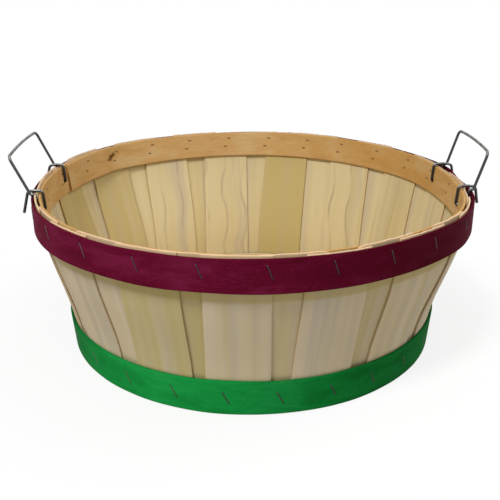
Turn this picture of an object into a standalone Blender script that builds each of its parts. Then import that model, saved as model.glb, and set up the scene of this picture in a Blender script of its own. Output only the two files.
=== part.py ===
"""Round veneer tub basket of the bushel class, with dyed hoops and two bent wire handles.

The wall is two layers of parallel-edged staves, each layer leaving gaps that the other covers.
Hoops clamp the staves inside and outside at the rim, and outside at the foot.
Each handle is one wire. Its ends go down between the outer hoop and the staves, through the wall,
up the inside, over the rim and down the outside.
The rim is a little out of round, as the handles and the hand bending have left it.

Metres, +Z up. The origin is the centre of the foot, on the surface that the basket stands on.
"""
import math
import random

import bmesh
import bpy
from mathutils import Matrix, Vector

# Whole basket
RIM_RADIUS = 0.260
FOOT_RADIUS = 0.2228
TUB_HEIGHT = 0.189

# Hoops: thin wooden strips bent round, with lapped ends
HOOP_THICKNESS = 0.0022
TOP_HOOP_WIDTH = 0.0352
OUTER_HOOP_DROP = 0.0010
BOTTOM_HOOP_WIDTH = 0.0413
BOTTOM_HOOP_FLARE = 0.0036
HOOP_LAP = 0.070
HOOP_LAP_RAMP = 0.045
HOOP_FIT = 0.0008
TOP_HOOP_STANDOFF = 0.0045
BOTTOM_HOOP_STANDOFF = 0.0008
LAP_GAP = 0.0004
OUTER_LAP_ANGLE = math.radians(62)
BOTTOM_LAP_ANGLE = math.radians(110)
INNER_LAP_LEG_GAP = 0.0068

# Staves: flat strips of veneer in two layers
STAVE_COUNT = 16
STAVE_WIDTH = 0.066
STAVE_THICKNESS = 0.0018
LAYER_GAP = 0.0004
STAVE_FOOT_CLEARANCE = 0.0005
STAVE_MEAN_RISE = 0.0008
STAVE_RISE_SPREAD = 0.0014
STAVE_RISE_SEED = 11
HIGH_STAVES = (math.radians(180), math.radians(38), 0.0030)
STAVE_SPACING_WAVER = math.radians(1.4)
FIRST_INNER_STAVE_ANGLE = math.radians(-58.8)
WAVER_CREST_ANGLE = math.radians(-124)

# Staves set askew: how far along the wall each one stands off its place, at the rim and at the foot
STAVE_SHIFTS = {
    "outer_stave_13": (0.0020, -0.0030),
    "outer_stave_14": (0.0043, -0.0025),
    "outer_stave_15": (-0.0043, -0.0070),
    "outer_stave_16": (-0.0038, -0.0025),
    "outer_stave_01": (-0.0016, 0.0016),
    "inner_stave_05": (-0.0060, -0.0030),
    "inner_stave_06": (-0.0093, -0.0110),
    "inner_stave_07": (-0.0012, 0.0054),
    "inner_stave_08": (0.0, 0.0055),
    "inner_stave_09": (0.0, 0.0055),
    "inner_stave_10": (0.0, 0.0040),
}

# Swells and dents of the rim: where, how far they reach to each side, and how far out
RIM_WAVES = (
    (math.radians(35), math.radians(65), -0.0080),
    (math.radians(3), math.radians(28), -0.0060),
    (math.radians(-32), math.radians(20), 0.0040),
    (math.radians(137), math.radians(30), 0.0035),
    (math.radians(181), math.radians(36), -0.0050),
)

# Floor: parallel boards inside the foot, fastened through the staves into their edges
FLOOR_RECESS = 0.0008
FLOOR_BOARD_COUNT = 7
FLOOR_BOARD_THICKNESS = 0.004
FLOOR_BOARD_GAP = 0.0012
FLOOR_EDGE_CLEARANCE = 0.0010
OUTER_BOARD_TRIM = 0.0010

# Wire handles
WIRE_DIAMETER = 0.0033
WIRE_CLEARANCE = 0.0005
HOOK_INSET = 0.0065
GRIP_HEIGHT = 0.0450
GRIP_BOW = 0.0017
GRIP_CORNER_RADIUS = 0.007
WALL_HOLE_DEPTH = 0.0180
LEG_STEP_OUT = 0.0045
LEG_BEND_RADIUS = 0.0022
ARCH_RISE = 0.0029
ARCH_CREST = 0.0010
CREST_BEND_RADIUS = 0.010
INNER_BEND_RADIUS = 0.0037
OUTER_BEND_RADIUS = 0.0050
HANDLE_SWING = math.radians(3)
LEG_BULGE_REACH = math.radians(16)
NOTCH_HEADROOM = 0.006

# Where each handle faces, its shift along the rim, how far its legs stand out from the wall's
# chord between them, half their span, the lean, and how far the free ends drop and splay outwards
LEFT_HANDLE = {
    "facing": math.radians(181.7),
    "across": 0.0,
    "stand_out": 0.0014,
    "half_span": 0.0633,
    "lean": math.radians(24.4),
    "tip_drop": 0.0250,
    "tip_splay": math.radians(15),
}
RIGHT_HANDLE = {
    "facing": math.radians(1.6),
    "across": -0.0090,
    "stand_out": 0.0065,
    "half_span": 0.0560,
    "lean": math.radians(16.5),
    "tip_drop": 0.0195,
    "tip_splay": math.radians(11),
}

# Mesh resolution
HOOP_SEGMENTS = 96
STAVE_COLUMNS = 4
STAVE_ROWS = 8
BOARD_END_STEPS = 4
BEND_STEPS = 4
GRIP_STEPS = 12
WIRE_BEVEL_RESOLUTION = 2
SHARP_ANGLE = math.radians(35)

# Radii of the hoops and of the wall, from the outside in
TOP_HOOP_INNER_RADIUS = RIM_RADIUS - HOOP_THICKNESS
FOOT_HOOP_INNER_RADIUS = FOOT_RADIUS - HOOP_THICKNESS
TOP_HOOP_FOOT = TUB_HEIGHT - TOP_HOOP_WIDTH
WALL_THICKNESS = 2 * STAVE_THICKNESS + LAYER_GAP
INNER_LAYER_OFFSET = STAVE_THICKNESS + LAYER_GAP
INNER_HOOP_OFFSET = WALL_THICKNESS + HOOP_FIT
WALL_STATIONS = (
    (0.0, FOOT_HOOP_INNER_RADIUS - HOOP_FIT),
    (BOTTOM_HOOP_WIDTH, FOOT_HOOP_INNER_RADIUS + BOTTOM_HOOP_FLARE - BOTTOM_HOOP_STANDOFF),
    (TOP_HOOP_FOOT, TOP_HOOP_INNER_RADIUS - TOP_HOOP_STANDOFF),
    (TUB_HEIGHT, TOP_HOOP_INNER_RADIUS - HOOP_FIT),
)
STAVE_PITCH = 2 * math.pi / STAVE_COUNT
WIRE_RADIUS = WIRE_DIAMETER / 2
OVER_HOOP_HEIGHT = TUB_HEIGHT - OUTER_HOOP_DROP + WIRE_RADIUS + WIRE_CLEARANCE

# Colour, roughness and metallic value of each finish
VENEER_OUTSIDE = ((0.66, 0.55, 0.37), 0.75, 0.0)
VENEER_INSIDE = ((0.70, 0.58, 0.34), 0.75, 0.0)
TAN_HOOP_WOOD = ((0.60, 0.38, 0.17), 0.70, 0.0)
FLOOR_WOOD = ((0.64, 0.52, 0.32), 0.80, 0.0)
MAROON_DYE = ((0.110, 0.008, 0.040), 0.65, 0.0)
GREEN_DYE = ((0.010, 0.250, 0.060), 0.65, 0.0)
HANDLE_STEEL = ((0.16, 0.16, 0.15), 0.35, 0.9)


def clear_scene():
    """Remove every object that is already there."""
    for obj in list(bpy.data.objects):
        bpy.data.objects.remove(obj, do_unlink=True)


def add_material(obj, finish):
    """Give the object a material of its own with this finish."""
    colour, roughness, metallic = finish
    material = bpy.data.materials.new(obj.name)
    material.use_nodes = True
    shader = material.node_tree.nodes["Principled BSDF"]
    shader.inputs["Base Color"].default_value = (*colour, 1.0)
    shader.inputs["Roughness"].default_value = roughness
    shader.inputs["Metallic"].default_value = metallic
    material.diffuse_color = (*colour, 1.0)
    obj.data.materials.append(material)


def link_mesh(name, bm, finish):
    """Turn a bmesh into a named object, smooth except over its sharp edges."""
    bmesh.ops.recalc_face_normals(bm, faces=bm.faces)
    mesh = bpy.data.meshes.new(name)
    bm.to_mesh(mesh)
    bm.free()
    mesh.shade_smooth()
    mesh.set_sharp_from_angle(angle=SHARP_ANGLE)
    obj = bpy.data.objects.new(name, mesh)
    bpy.context.collection.objects.link(obj)
    add_material(obj, finish)
    return obj


def polar(radius, angle, height):
    """Point at a radius and an angle round the basket's axis."""
    return Vector((radius * math.cos(angle), radius * math.sin(angle), height))


def smooth_curve(stations, position):
    """Value of a smooth curve through (position, value) stations."""
    steps = [
        (upper[1] - lower[1]) / (upper[0] - lower[0])
        for lower, upper in zip(stations, stations[1:])
    ]
    slopes = [steps[0]]
    slopes += [(before + after) / 2 for before, after in zip(steps, steps[1:])]
    slopes.append(steps[-1])
    span = len(stations) - 2
    for index in range(len(stations) - 1):
        if position <= stations[index + 1][0]:
            span = index
            break
    (start, low), (end, high) = stations[span], stations[span + 1]
    length = end - start
    t = (position - start) / length
    if t > 1:
        return high + slopes[-1] * (position - end)
    rise = high - low
    turn_in = slopes[span] * length - rise
    turn_out = rise - slopes[span + 1] * length
    return low + rise * t + t * (1 - t) * (turn_in * (1 - t) + turn_out * t)


def ease(fraction):
    """Smooth step from 0 to 1."""
    fraction = min(max(fraction, 0.0), 1.0)
    return fraction * fraction * (3 - 2 * fraction)


def angle_between(angle, other):
    """Size of the smaller turn between two angles."""
    return abs((angle - other + math.pi) % (2 * math.pi) - math.pi)


def swell(angle, waves):
    """Sum of rounded swells, given as (where, reach to each side, amount)."""
    total = 0.0
    for centre, reach, amount in waves:
        off = min(angle_between(angle, centre) / reach, 1.0)
        total += amount * (1 + math.cos(math.pi * off)) / 2
    return total


def wall_radius(height, angle=None):
    """Radius of the outer staves' outer face at a height, round or with the rim's waves."""
    radius = smooth_curve(WALL_STATIONS, height)
    if angle is not None:
        climb = (height - BOTTOM_HOOP_WIDTH) / (TOP_HOOP_FOOT - BOTTOM_HOOP_WIDTH)
        radius += swell(angle, RIM_WAVES) * ease(climb)
    return radius


def loft(rings):
    """Join rings of points, all with the same count, into one closed body."""
    bm = bmesh.new()
    loops = [[bm.verts.new(point) for point in ring] for ring in rings]
    for lower, upper in zip(loops, loops[1:]):
        for index in range(len(lower)):
            after = (index + 1) % len(lower)
            bm.faces.new((lower[index], lower[after], upper[after], upper[index]))
    bm.faces.new(loops[0][::-1])
    bm.faces.new(loops[-1])
    return bm


def build_stave(name, angle, outer_face_offset, top, finish):
    """One flat strip bent to the wall: constant width, square ends, a little askew if it is listed."""
    rim_shift, foot_shift = STAVE_SHIFTS.get(name, (0.0, 0.0))
    rings = []
    for row in range(STAVE_ROWS + 1):
        height = STAVE_FOOT_CLEARANCE + (top - STAVE_FOOT_CLEARANCE) * row / STAVE_ROWS
        face_radius = wall_radius(height) - outer_face_offset
        shift = foot_shift + (rim_shift - foot_shift) * height / TUB_HEIGHT
        outer_edge = []
        inner_edge = []
        for column in range(STAVE_COLUMNS + 1):
            along = shift + STAVE_WIDTH * (column / STAVE_COLUMNS - 0.5)
            turn = angle + along / face_radius
            outer = wall_radius(height, turn) - outer_face_offset
            outer_edge.append(polar(outer, turn, height))
            inner_edge.append(polar(outer - STAVE_THICKNESS, turn, height))
        rings.append(outer_edge + inner_edge[::-1])
    return link_mesh(name, loft(rings), finish)


def stave_angle(index, layer_turn):
    """Where a stave stands: even spacing with a slow waver, as set by hand."""
    even = FIRST_INNER_STAVE_ANGLE + (index + layer_turn) * STAVE_PITCH
    return even + STAVE_SPACING_WAVER * math.cos(2 * (even - WAVER_CREST_ANGLE))


def build_staves():
    """Both layers of staves, as (object, angle) pairs."""
    chance = random.Random(STAVE_RISE_SEED)
    layers = (
        ("outer_stave", 0.5, 0.0, VENEER_OUTSIDE),
        ("inner_stave", 0.0, INNER_LAYER_OFFSET, VENEER_INSIDE),
    )
    staves = []
    for label, layer_turn, offset, finish in layers:
        for index in range(STAVE_COUNT):
            angle = stave_angle(index, layer_turn)
            rise = STAVE_MEAN_RISE + STAVE_RISE_SPREAD * chance.uniform(-1, 1)
            top = TUB_HEIGHT + rise + swell(angle, [HIGH_STAVES])
            stave = build_stave(f"{label}_{index + 1:02d}", angle, offset, top, finish)
            staves.append((stave, angle))
    return staves


def build_hoop(name, section, lap_angle, lap_side, finish, waves=()):
    """Strip bent to a ring, whose tail laps over its head.

    section lists (radius, height) corners. lap_side is 1 for a tail on the outside and -1 inside.
    """
    radius = max(corner[0] for corner in section)
    lap = HOOP_LAP / radius
    ramp = HOOP_LAP_RAMP / radius
    step = 2 * math.pi / HOOP_SEGMENTS
    lap_steps = max(2, round(lap / step))
    lift = lap_side * (HOOP_THICKNESS + LAP_GAP)
    rings = []
    for index in range(HOOP_SEGMENTS + lap_steps + 1):
        travel = index * step
        angle = lap_angle + travel
        shift = lift * ease((travel - 2 * math.pi + ramp) / ramp) + swell(angle, waves)
        rings.append([polar(corner[0] + shift, angle, corner[1]) for corner in section])
    return link_mesh(name, loft(rings), finish)


def strip_section(outer_low, outer_high, low, high):
    """Corners of a strip's section from its outer face's radii and its edges' heights."""
    return (
        (outer_low, low),
        (outer_high, high),
        (outer_high - HOOP_THICKNESS, high),
        (outer_low - HOOP_THICKNESS, low),
    )


def build_inner_top_hoop(leg):
    """Hoop whose outer face follows the inner staves at the rim, lapped short of a handle leg."""
    top_radius = wall_radius(TUB_HEIGHT) - INNER_HOOP_OFFSET
    section = strip_section(
        wall_radius(TOP_HOOP_FOOT) - INNER_HOOP_OFFSET, top_radius, TOP_HOOP_FOOT, TUB_HEIGHT)
    lap_angle = leg["angle"] - (HOOP_LAP + INNER_LAP_LEG_GAP) / top_radius
    return build_hoop("inner_top_hoop", section, lap_angle, -1, TAN_HOOP_WOOD, waves=RIM_WAVES)


def build_outer_top_hoop(plans):
    """Hoop round the outer staves at the rim, held off them where the handle legs go down."""
    section = strip_section(
        RIM_RADIUS, RIM_RADIUS, TOP_HOOP_FOOT - OUTER_HOOP_DROP, TUB_HEIGHT - OUTER_HOOP_DROP)
    leg_waves = [leg["wave"] for plan in plans for leg in plan["legs"]]
    return build_hoop(
        "outer_top_hoop", section, OUTER_LAP_ANGLE, 1, MAROON_DYE,
        waves=list(RIM_WAVES) + leg_waves)


def plan_leg(handle, out, side):
    """Places of the bends at one side of a handle, as (out, height) in the handle's frame."""
    hole_height = TUB_HEIGHT - WALL_HOLE_DEPTH
    leg_across = handle["across"] + side * handle["half_span"]
    hook_across = leg_across - side * HOOK_INSET
    angle = handle["facing"] + math.atan2(leg_across, out)
    hook_angle = handle["facing"] + math.atan2(hook_across, out)
    leg_radius = math.hypot(out, leg_across)
    room = WIRE_RADIUS + WIRE_CLEARANCE
    bulge = max(leg_radius + room - wall_radius(TUB_HEIGHT, angle) - HOOP_FIT, 0.0)
    hook_wall = wall_radius(TUB_HEIGHT, hook_angle)
    hoop_outer = hook_wall + HOOP_FIT + bulge + HOOP_THICKNESS
    hoop_face = INNER_HOOP_OFFSET + HOOP_THICKNESS + room
    swing_room = (WALL_HOLE_DEPTH + ARCH_RISE) * math.sin(HANDLE_SWING)
    return {
        "side": side,
        "angle": angle,
        "leg_across": leg_across,
        "hook_across": hook_across,
        "wave": (angle, LEG_BULGE_REACH, bulge),
        "inside_low": chord_out(wall_radius(hole_height, hook_angle) - hoop_face, hook_across),
        "inside_high": chord_out(hook_wall - hoop_face, hook_across),
        "outside_high": chord_out(hoop_outer + room, hook_across) + swing_room,
    }


def chord_out(radius, across):
    """Distance outwards to a circle, at an offset across."""
    return math.sqrt(radius * radius - across * across)


def plan_handle(handle):
    """The handle's own values with its hinge and the bends of both legs.

    Its frame has x outwards, y along the rim and z up from the floor.
    """
    hole_height = TUB_HEIGHT - WALL_HOLE_DEPTH
    wall_slope = wall_radius(TUB_HEIGHT) - wall_radius(hole_height)
    rim = wall_radius(TUB_HEIGHT, handle["facing"])
    out = chord_out(rim, handle["half_span"]) + handle["stand_out"]
    return {
        **handle,
        "out": out,
        "hinge": Vector((out - wall_slope, handle["across"], hole_height)),
        "legs": [plan_leg(handle, out, side) for side in (-1, 1)],
    }


def wire_corners(plan):
    """Corners of the wire from one free tip to the other, with the radius of each bend."""
    hinge, lean = plan["hinge"], plan["lean"]
    step_out = plan["out"] + LEG_STEP_OUT
    grip_out = step_out + (TUB_HEIGHT + GRIP_HEIGHT - OVER_HOOP_HEIGHT) * math.tan(lean)
    arch = TUB_HEIGHT + ARCH_RISE
    halves = []
    for leg in plan["legs"]:
        tip_out = leg["outside_high"] + plan["tip_drop"] * math.tan(plan["tip_splay"])
        outside = Vector((leg["outside_high"], leg["hook_across"], arch))
        inside = Vector((leg["inside_high"], leg["hook_across"], arch))
        halves.append([
            (Vector((tip_out, leg["hook_across"], arch - plan["tip_drop"])), 0.0),
            (outside, OUTER_BEND_RADIUS),
            ((outside + inside) / 2 + Vector((0, 0, ARCH_CREST)), CREST_BEND_RADIUS),
            (inside, INNER_BEND_RADIUS),
            (Vector((leg["inside_low"], leg["hook_across"], hinge.z)), WIRE_RADIUS),
            (Vector((hinge.x, leg["leg_across"], hinge.z)), WIRE_RADIUS),
            (Vector((plan["out"], leg["leg_across"], OVER_HOOP_HEIGHT)), LEG_BEND_RADIUS),
            (Vector((step_out, leg["leg_across"], OVER_HOOP_HEIGHT)), LEG_BEND_RADIUS),
            (Vector((grip_out, leg["leg_across"], TUB_HEIGHT + GRIP_HEIGHT)), GRIP_CORNER_RADIUS),
        ])
    return halves[0] + halves[1][::-1]


def rounded_path(corners):
    """Points along straight runs joined by arcs."""
    points = [corners[0][0]]
    for index in range(1, len(corners) - 1):
        corner, bend = corners[index]
        back = (corners[index - 1][0] - corner).normalized()
        ahead = (corners[index + 1][0] - corner).normalized()
        half = back.angle(ahead) / 2
        reach = bend / math.tan(half)
        centre = corner + (back + ahead).normalized() * (bend / math.sin(half))
        start = corner + back * reach - centre
        end = corner + ahead * reach - centre
        sweep = start.angle(end)
        for step in range(BEND_STEPS + 1):
            turn = sweep * step / BEND_STEPS
            blend = start * math.sin(sweep - turn) + end * math.sin(turn)
            points.append(centre + blend / math.sin(sweep))
    points.append(corners[-1][0])
    return points


def bow_grip(points, plan):
    """Replace the straight grip by a shallow arc that rises along the handle's lean."""
    away = Vector((math.sin(plan["lean"]), 0.0, math.cos(plan["lean"])))
    middle = len(points) // 2
    first, last = points[middle - 1], points[middle]
    bow = []
    for step in range(1, GRIP_STEPS):
        share = step / GRIP_STEPS
        bow.append(first.lerp(last, share) + away * (GRIP_BOW * 4 * share * (1 - share)))
    return points[:middle] + bow + points[middle:]


def build_handle(name, plan):
    """Bent wire with its origin on its hinge axis and its x axis outwards."""
    hinge = plan["hinge"]
    points = [point - hinge for point in bow_grip(rounded_path(wire_corners(plan)), plan)]
    curve = bpy.data.curves.new(name, "CURVE")
    curve.dimensions = "3D"
    spline = curve.splines.new("POLY")
    spline.points.add(len(points) - 1)
    for target, point in zip(spline.points, points):
        target.co = (*point, 1.0)
    curve.bevel_depth = WIRE_RADIUS
    curve.bevel_resolution = WIRE_BEVEL_RESOLUTION
    curve.use_fill_caps = True
    obj = bpy.data.objects.new(name, curve)
    bpy.context.collection.objects.link(obj)
    obj.location = Matrix.Rotation(plan["facing"], 3, "Z") @ hinge
    obj.rotation_euler.z = plan["facing"]
    add_material(obj, HANDLE_STEEL)
    return obj


def build_slot_cutter(name, plan, start, end, headroom=0.0):
    """Room that one straight run of the wire sweeps as the handle swings in."""
    hinge = plan["hinge"]
    reach = WIRE_RADIUS + WIRE_CLEARANCE
    to_basket = Matrix.Rotation(plan["facing"], 4, "Z")
    offsets = [
        Vector((x * reach, y * reach, z))
        for x in (-1, 1) for y in (-1, 1) for z in (-reach, reach + headroom)
    ]
    bm = bmesh.new()
    for swing in (0.0, HANDLE_SWING / 2, HANDLE_SWING):
        turned = Matrix.Rotation(-swing, 4, "Y")
        for point in (start, end):
            placed = turned @ (point - hinge) + hinge
            for offset in offsets:
                bm.verts.new(to_basket @ (placed + offset))
    result = bmesh.ops.convex_hull(bm, input=bm.verts)
    loose = [item for item in result["geom_interior"] if isinstance(item, bmesh.types.BMVert)]
    bmesh.ops.delete(bm, geom=loose, context="VERTS")
    bmesh.ops.recalc_face_normals(bm, faces=bm.faces)
    mesh = bpy.data.meshes.new(name)
    bm.to_mesh(mesh)
    bm.free()
    cutter = bpy.data.objects.new(name, mesh)
    bpy.context.collection.objects.link(cutter)
    cutter.hide_render = True
    cutter.display_type = "WIRE"
    return cutter


def cut(obj, cutter):
    """Take the cutter's volume out of the object."""
    boolean = obj.modifiers.new(cutter.name, "BOOLEAN")
    boolean.operation = "DIFFERENCE"
    boolean.solver = "EXACT"
    boolean.object = cutter


def cut_handle_slots(plan, label, staves, inner_hoop):
    """Punch the holes and notches that a handle's ends pass through and move in."""
    hinge = plan["hinge"]
    arch = TUB_HEIGHT + ARCH_RISE
    reach_angle = STAVE_WIDTH / hinge.x
    for leg in plan["legs"]:
        low = Vector((hinge.x, leg["leg_across"], hinge.z))
        high = Vector((plan["out"], leg["leg_across"], arch))
        inner_bend = Vector((leg["inside_low"], leg["hook_across"], hinge.z))
        inside = inner_bend + (inner_bend - low).normalized() * WIRE_DIAMETER
        over_in = Vector((leg["inside_high"], leg["hook_across"], arch))
        over_out = Vector((leg["outside_high"], leg["hook_across"], arch))
        name = f"{label}_{'near' if leg['side'] * math.cos(plan['facing']) < 0 else 'far'}"
        groove = build_slot_cutter(f"{name}_leg_groove", plan, low, high)
        hole = build_slot_cutter(f"{name}_wall_hole", plan, low, inside)
        notch = build_slot_cutter(f"{name}_rim_notch", plan, over_in, over_out, NOTCH_HEADROOM)
        for stave, angle in staves:
            if angle_between(angle, leg["angle"]) < reach_angle:
                cut(stave, groove)
                cut(stave, hole)
                cut(stave, notch)
        cut(inner_hoop, hole)


def build_floor():
    """Parallel boards cut to the round of the wall."""
    radius = wall_radius(FLOOR_RECESS) - WALL_THICKNESS - FLOOR_EDGE_CLEARANCE
    limit = radius - OUTER_BOARD_TRIM
    pitch = (2 * limit + FLOOR_BOARD_GAP) / FLOOR_BOARD_COUNT
    for index in range(FLOOR_BOARD_COUNT):
        low = index * pitch - limit
        high = low + pitch - FLOOR_BOARD_GAP
        rows = [low + (high - low) * step / BOARD_END_STEPS for step in range(BOARD_END_STEPS + 1)]
        outline = [(chord_out(radius, row), row) for row in rows]
        outline += [(-chord_out(radius, row), row) for row in reversed(rows)]
        heights = (FLOOR_RECESS, FLOOR_RECESS + FLOOR_BOARD_THICKNESS)
        rings = [[Vector((x, y, height)) for x, y in outline] for height in heights]
        link_mesh(f"floor_board_{index + 1}", loft(rings), FLOOR_WOOD)


def build_basket():
    """Wall, hoops, floor and handles."""
    left = plan_handle(LEFT_HANDLE)
    right = plan_handle(RIGHT_HANDLE)
    staves = build_staves()
    build_outer_top_hoop([left, right])
    inner_top_hoop = build_inner_top_hoop(left["legs"][0])
    build_hoop(
        "outer_bottom_hoop",
        strip_section(FOOT_RADIUS, FOOT_RADIUS + BOTTOM_HOOP_FLARE, 0.0, BOTTOM_HOOP_WIDTH),
        BOTTOM_LAP_ANGLE,
        1,
        GREEN_DYE,
    )
    build_floor()
    for label, plan in (("left", left), ("right", right)):
        build_handle(f"{label}_wire_handle", plan)
        cut_handle_slots(plan, label, staves, inner_top_hoop)


clear_scene()
build_basket()
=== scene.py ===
"""Finished looks of a round veneer tub basket with dyed hoops and two wire handles.

Every stave, hoop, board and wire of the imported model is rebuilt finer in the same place,
the staples are added, and each piece gets a material that follows its own grain.
"""
import math
import random

import bmesh
import bpy
from mathutils import Matrix, Vector, noise


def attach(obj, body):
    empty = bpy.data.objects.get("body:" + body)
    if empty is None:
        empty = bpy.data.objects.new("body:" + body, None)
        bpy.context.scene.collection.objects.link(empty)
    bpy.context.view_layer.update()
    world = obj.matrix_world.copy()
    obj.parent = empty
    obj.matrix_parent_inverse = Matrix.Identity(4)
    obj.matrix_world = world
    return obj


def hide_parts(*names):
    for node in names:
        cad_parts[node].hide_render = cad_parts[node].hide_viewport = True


bl_info = {
    "name": "Veneer tub basket",
    "version": (1, 0, 0),
    "blender": (4, 5, 0),
    "location": "View3D > Sidebar > Basket",
    "description": "Models a round veneer basket with dyed hoops, staples and wire handles",
    "category": "Object",
}

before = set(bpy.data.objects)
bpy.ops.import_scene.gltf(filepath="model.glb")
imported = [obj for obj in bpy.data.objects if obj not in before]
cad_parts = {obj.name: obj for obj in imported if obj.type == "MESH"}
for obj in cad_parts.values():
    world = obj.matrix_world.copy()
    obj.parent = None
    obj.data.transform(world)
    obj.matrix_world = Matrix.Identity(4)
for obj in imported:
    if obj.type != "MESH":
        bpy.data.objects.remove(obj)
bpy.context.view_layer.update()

# Swells and dents of the rim: where, how far they reach to each side, and how far out
RIM_WAVES = (
    (math.radians(35), math.radians(65), -0.0080),
    (math.radians(3), math.radians(28), -0.0060),
    (math.radians(-32), math.radians(20), 0.0040),
    (math.radians(137), math.radians(30), 0.0035),
    (math.radians(181), math.radians(36), -0.0050),
)

# Where each handle faces, its shift along the rim, how far its legs stand out from the wall's
# chord between them, half their span, the lean, and how far the free ends drop and splay outwards
LEFT_HANDLE = {
    "facing": math.radians(181.7),
    "across": 0.0,
    "stand_out": 0.0014,
    "half_span": 0.0633,
    "lean": math.radians(24.4),
    "tip_drop": 0.0250,
    "tip_splay": math.radians(15),
}
RIGHT_HANDLE = {
    "facing": math.radians(1.6),
    "across": -0.0090,
    "stand_out": 0.0065,
    "half_span": 0.0560,
    "lean": math.radians(16.5),
    "tip_drop": 0.0195,
    "tip_splay": math.radians(11),
}

# Laps of the hoops
OUTER_LAP_ANGLE = math.radians(62)
BOTTOM_LAP_ANGLE = math.radians(110)
INNER_LAP_LEG_GAP = 0.0068
OUTSIDE, INSIDE = 1, -1

# Tone of each stave, where it stands apart from the rest: angle, share of heartwood colour
OUTER_STAVE_TONES = ((-116, 0.62), (-72, 0.22), (-93, 0.25), (-137, 0.20), (-48, 0.30))
INNER_STAVE_TONES = ((77, 0.88), (143, 0.62), (165, 0.66), (-103, 0.85), (-82, 0.45), (-60, 0.38))
INNER_STAVE_STREAKS = ((54, 1.0), (32, 0.40), (100, 0.75), (120, 0.70), (9, 0.2))

# The knot of the inner hoop: angle and height
KNOT_ANGLE = math.radians(141.5)
KNOT_HEIGHT = 0.1765

# Where the staples of the two rows stand, in degrees, as far as they can be seen
TOP_STAPLES = (
    -143.8, -129.1, -114.6, -100.5, -86.3, -72.5, -58.9, -45.6, -31.0, -16.0, -0.7, 14.5, 28.0,
    42.5, 57.0, 70.0, 84.0, 98.0, 112.0, 125.5, 139.5, 153.5, 169.0, 184.5, 200.0)
BOTTOM_STAPLES = (-140.7, -125.9, -111.1, -96.8, -82.6, -67.9, -55.1, -41.4)

# Where a hoop is painted darker, for uneven dye and wood and for painted shade, mostly round
# the right, away from the key light: where, how far to each side, and how much
MAROON_DYE_AND_SHADE = (
    (math.radians(-45), math.radians(55), 0.95),
    (math.radians(20), math.radians(60), 0.90),
    (math.radians(-180), math.radians(45), 0.45),
)
GREEN_DYE_AND_SHADE = (
    (math.radians(-150), math.radians(25), 0.35),
    (math.radians(-45), math.radians(60), 0.95),
    (math.radians(15), math.radians(60), 0.95),
    (math.radians(-88), math.radians(30), 0.12),
    (math.radians(-165), math.radians(35), 0.65),
)
TAN_WOOD_AND_SHADE = (
    (math.radians(35), math.radians(60), 0.55),
    (math.radians(150), math.radians(30), 0.05),
)

# Where the cut tops of the staves carry painted shade, so the back of the rim reads as a shaded
# gap: where, how far to each side, and how much
TOP_PAINTED_SHADE = (
    (math.radians(35), math.radians(70), 0.95),
    (math.radians(125), math.radians(75), 0.75),
)

# How far from a staple its marks on a hoop may reach
STAPLE_REACH = 0.012

# Share of a stave's height that the cuts for the wires leave whole, and how close two heights
# have to be to count as one
UNCUT_SHARE = 0.6
SAME_HEIGHT = 0.001

# Chance: its seed, and the ranges of a piece's own number and of the tone and the streaks of
# a stave that the tables leave out
SEED = 27
PIECE_NUMBERS = (0, 90)
OTHER_TONES = (0.05, 0.30)
OTHER_STREAKS = (0.0, 0.12)

# Cut tops of the staves: how deep a corner may be chipped, where the chip starts from the
# middle and how far it goes, how far the cut may slant, and how quickly it turns ragged.
# Then how quickly the side edges wander, and how sharply they curl.
CORNER_CHIPS = (0.0, 0.0, 0.0, 0.0018)
CHIP_START = 0.82
CHIP_REACH = 0.18
TOP_SLANT = 0.0006
TOP_RAGS = 12
EDGE_WANDERS = 2.2
CURL_SHARPNESS = 4

# Faces of each kind of strip, across and along its grid
STAVE_FACES = (14, 40)
HOOP_FACES = (900, 14)
BOARD_FACES = (30, 10)

# Each hoop's own number, how quickly its edges wander round and up, and the step from one
# floor board's number to the next
HOOP_NUMBERS = {"maroon_hoop": 12.4, "inner_hoop": 31.9, "green_hoop": 57.3}
HOOP_WANDERS = (5, 2)
BOARD_NUMBER_STEP = 3.7

# Edges: smooth below the first angle, bevelled from the second, in so many steps
SMOOTH_BELOW = math.radians(38)
BEVEL_FROM = math.radians(60)
BEVEL_STEPS = 2

# Handle wire: points in a bend and along the grip, roundness and bevel of its ends
WIRE_BEND_STEPS = 7
GRIP_STEPS = 28
WIRE_ROUNDNESS = 5
WIRE_END_ROUND = 0.0003

# Staples: points in a bend, roundness, and in wire diameters the depth of the legs, how far the
# folded ends sink in, and how far the upper and the lower end of the crown stand proud. Then how
# much their heights and their leans differ.
STAPLE_BEND_STEPS = 3
STAPLE_ROUNDNESS = 1
STAPLE_GRIP = 4
STAPLE_SINK = 0.42
STAPLE_ENDS = ((1, 0.35), (-1, -0.05))
STAPLE_HEIGHT_SPREAD = 0.0005
STAPLE_LEAN_SPREAD = math.radians(1.0)

# Patterns in the wood: size along the strip's u and v, shift, detail and distortion
GRAIN = {
    "heartwood": (0.017, 0.55, 0.0, 2.0, 0.12),
    "grey bands": (0.018, 0.45, 4.1, 2.0, 0.0),
    "streak breaks": (0.026, 0.06, 3.3, 2.0, 0.0),
    "fine grain": (0.0011, 0.090, 2.7, 3.0, 0.0),
    "pores": (0.00045, 0.011, 6.2, 2.0, 0.0),
    "ragged edge": (0.004, 0.020, 1.9, 2.0, 0.0),
    "hoop clouds": (0.050, 0.022, 0.0, 5.0, 0.6),
    "hoop grain": (0.022, 0.0013, 3.3, 4.0, 0.4),
    "hoop fibre": (0.0052, 0.0013, 7.7, 3.0, 2.0),
    "knot wobble": (0.006, 0.003, 5.5, 3.0, 0.0),
    "board bands": (0.30, 0.014, 0.0, 3.0, 0.5),
    "board grain": (0.060, 0.0016, 5.1, 4.0, 0.0),
    "saw marks": (0.0016, 0.08, 8.4, 1.0, 0.0),
}
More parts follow.
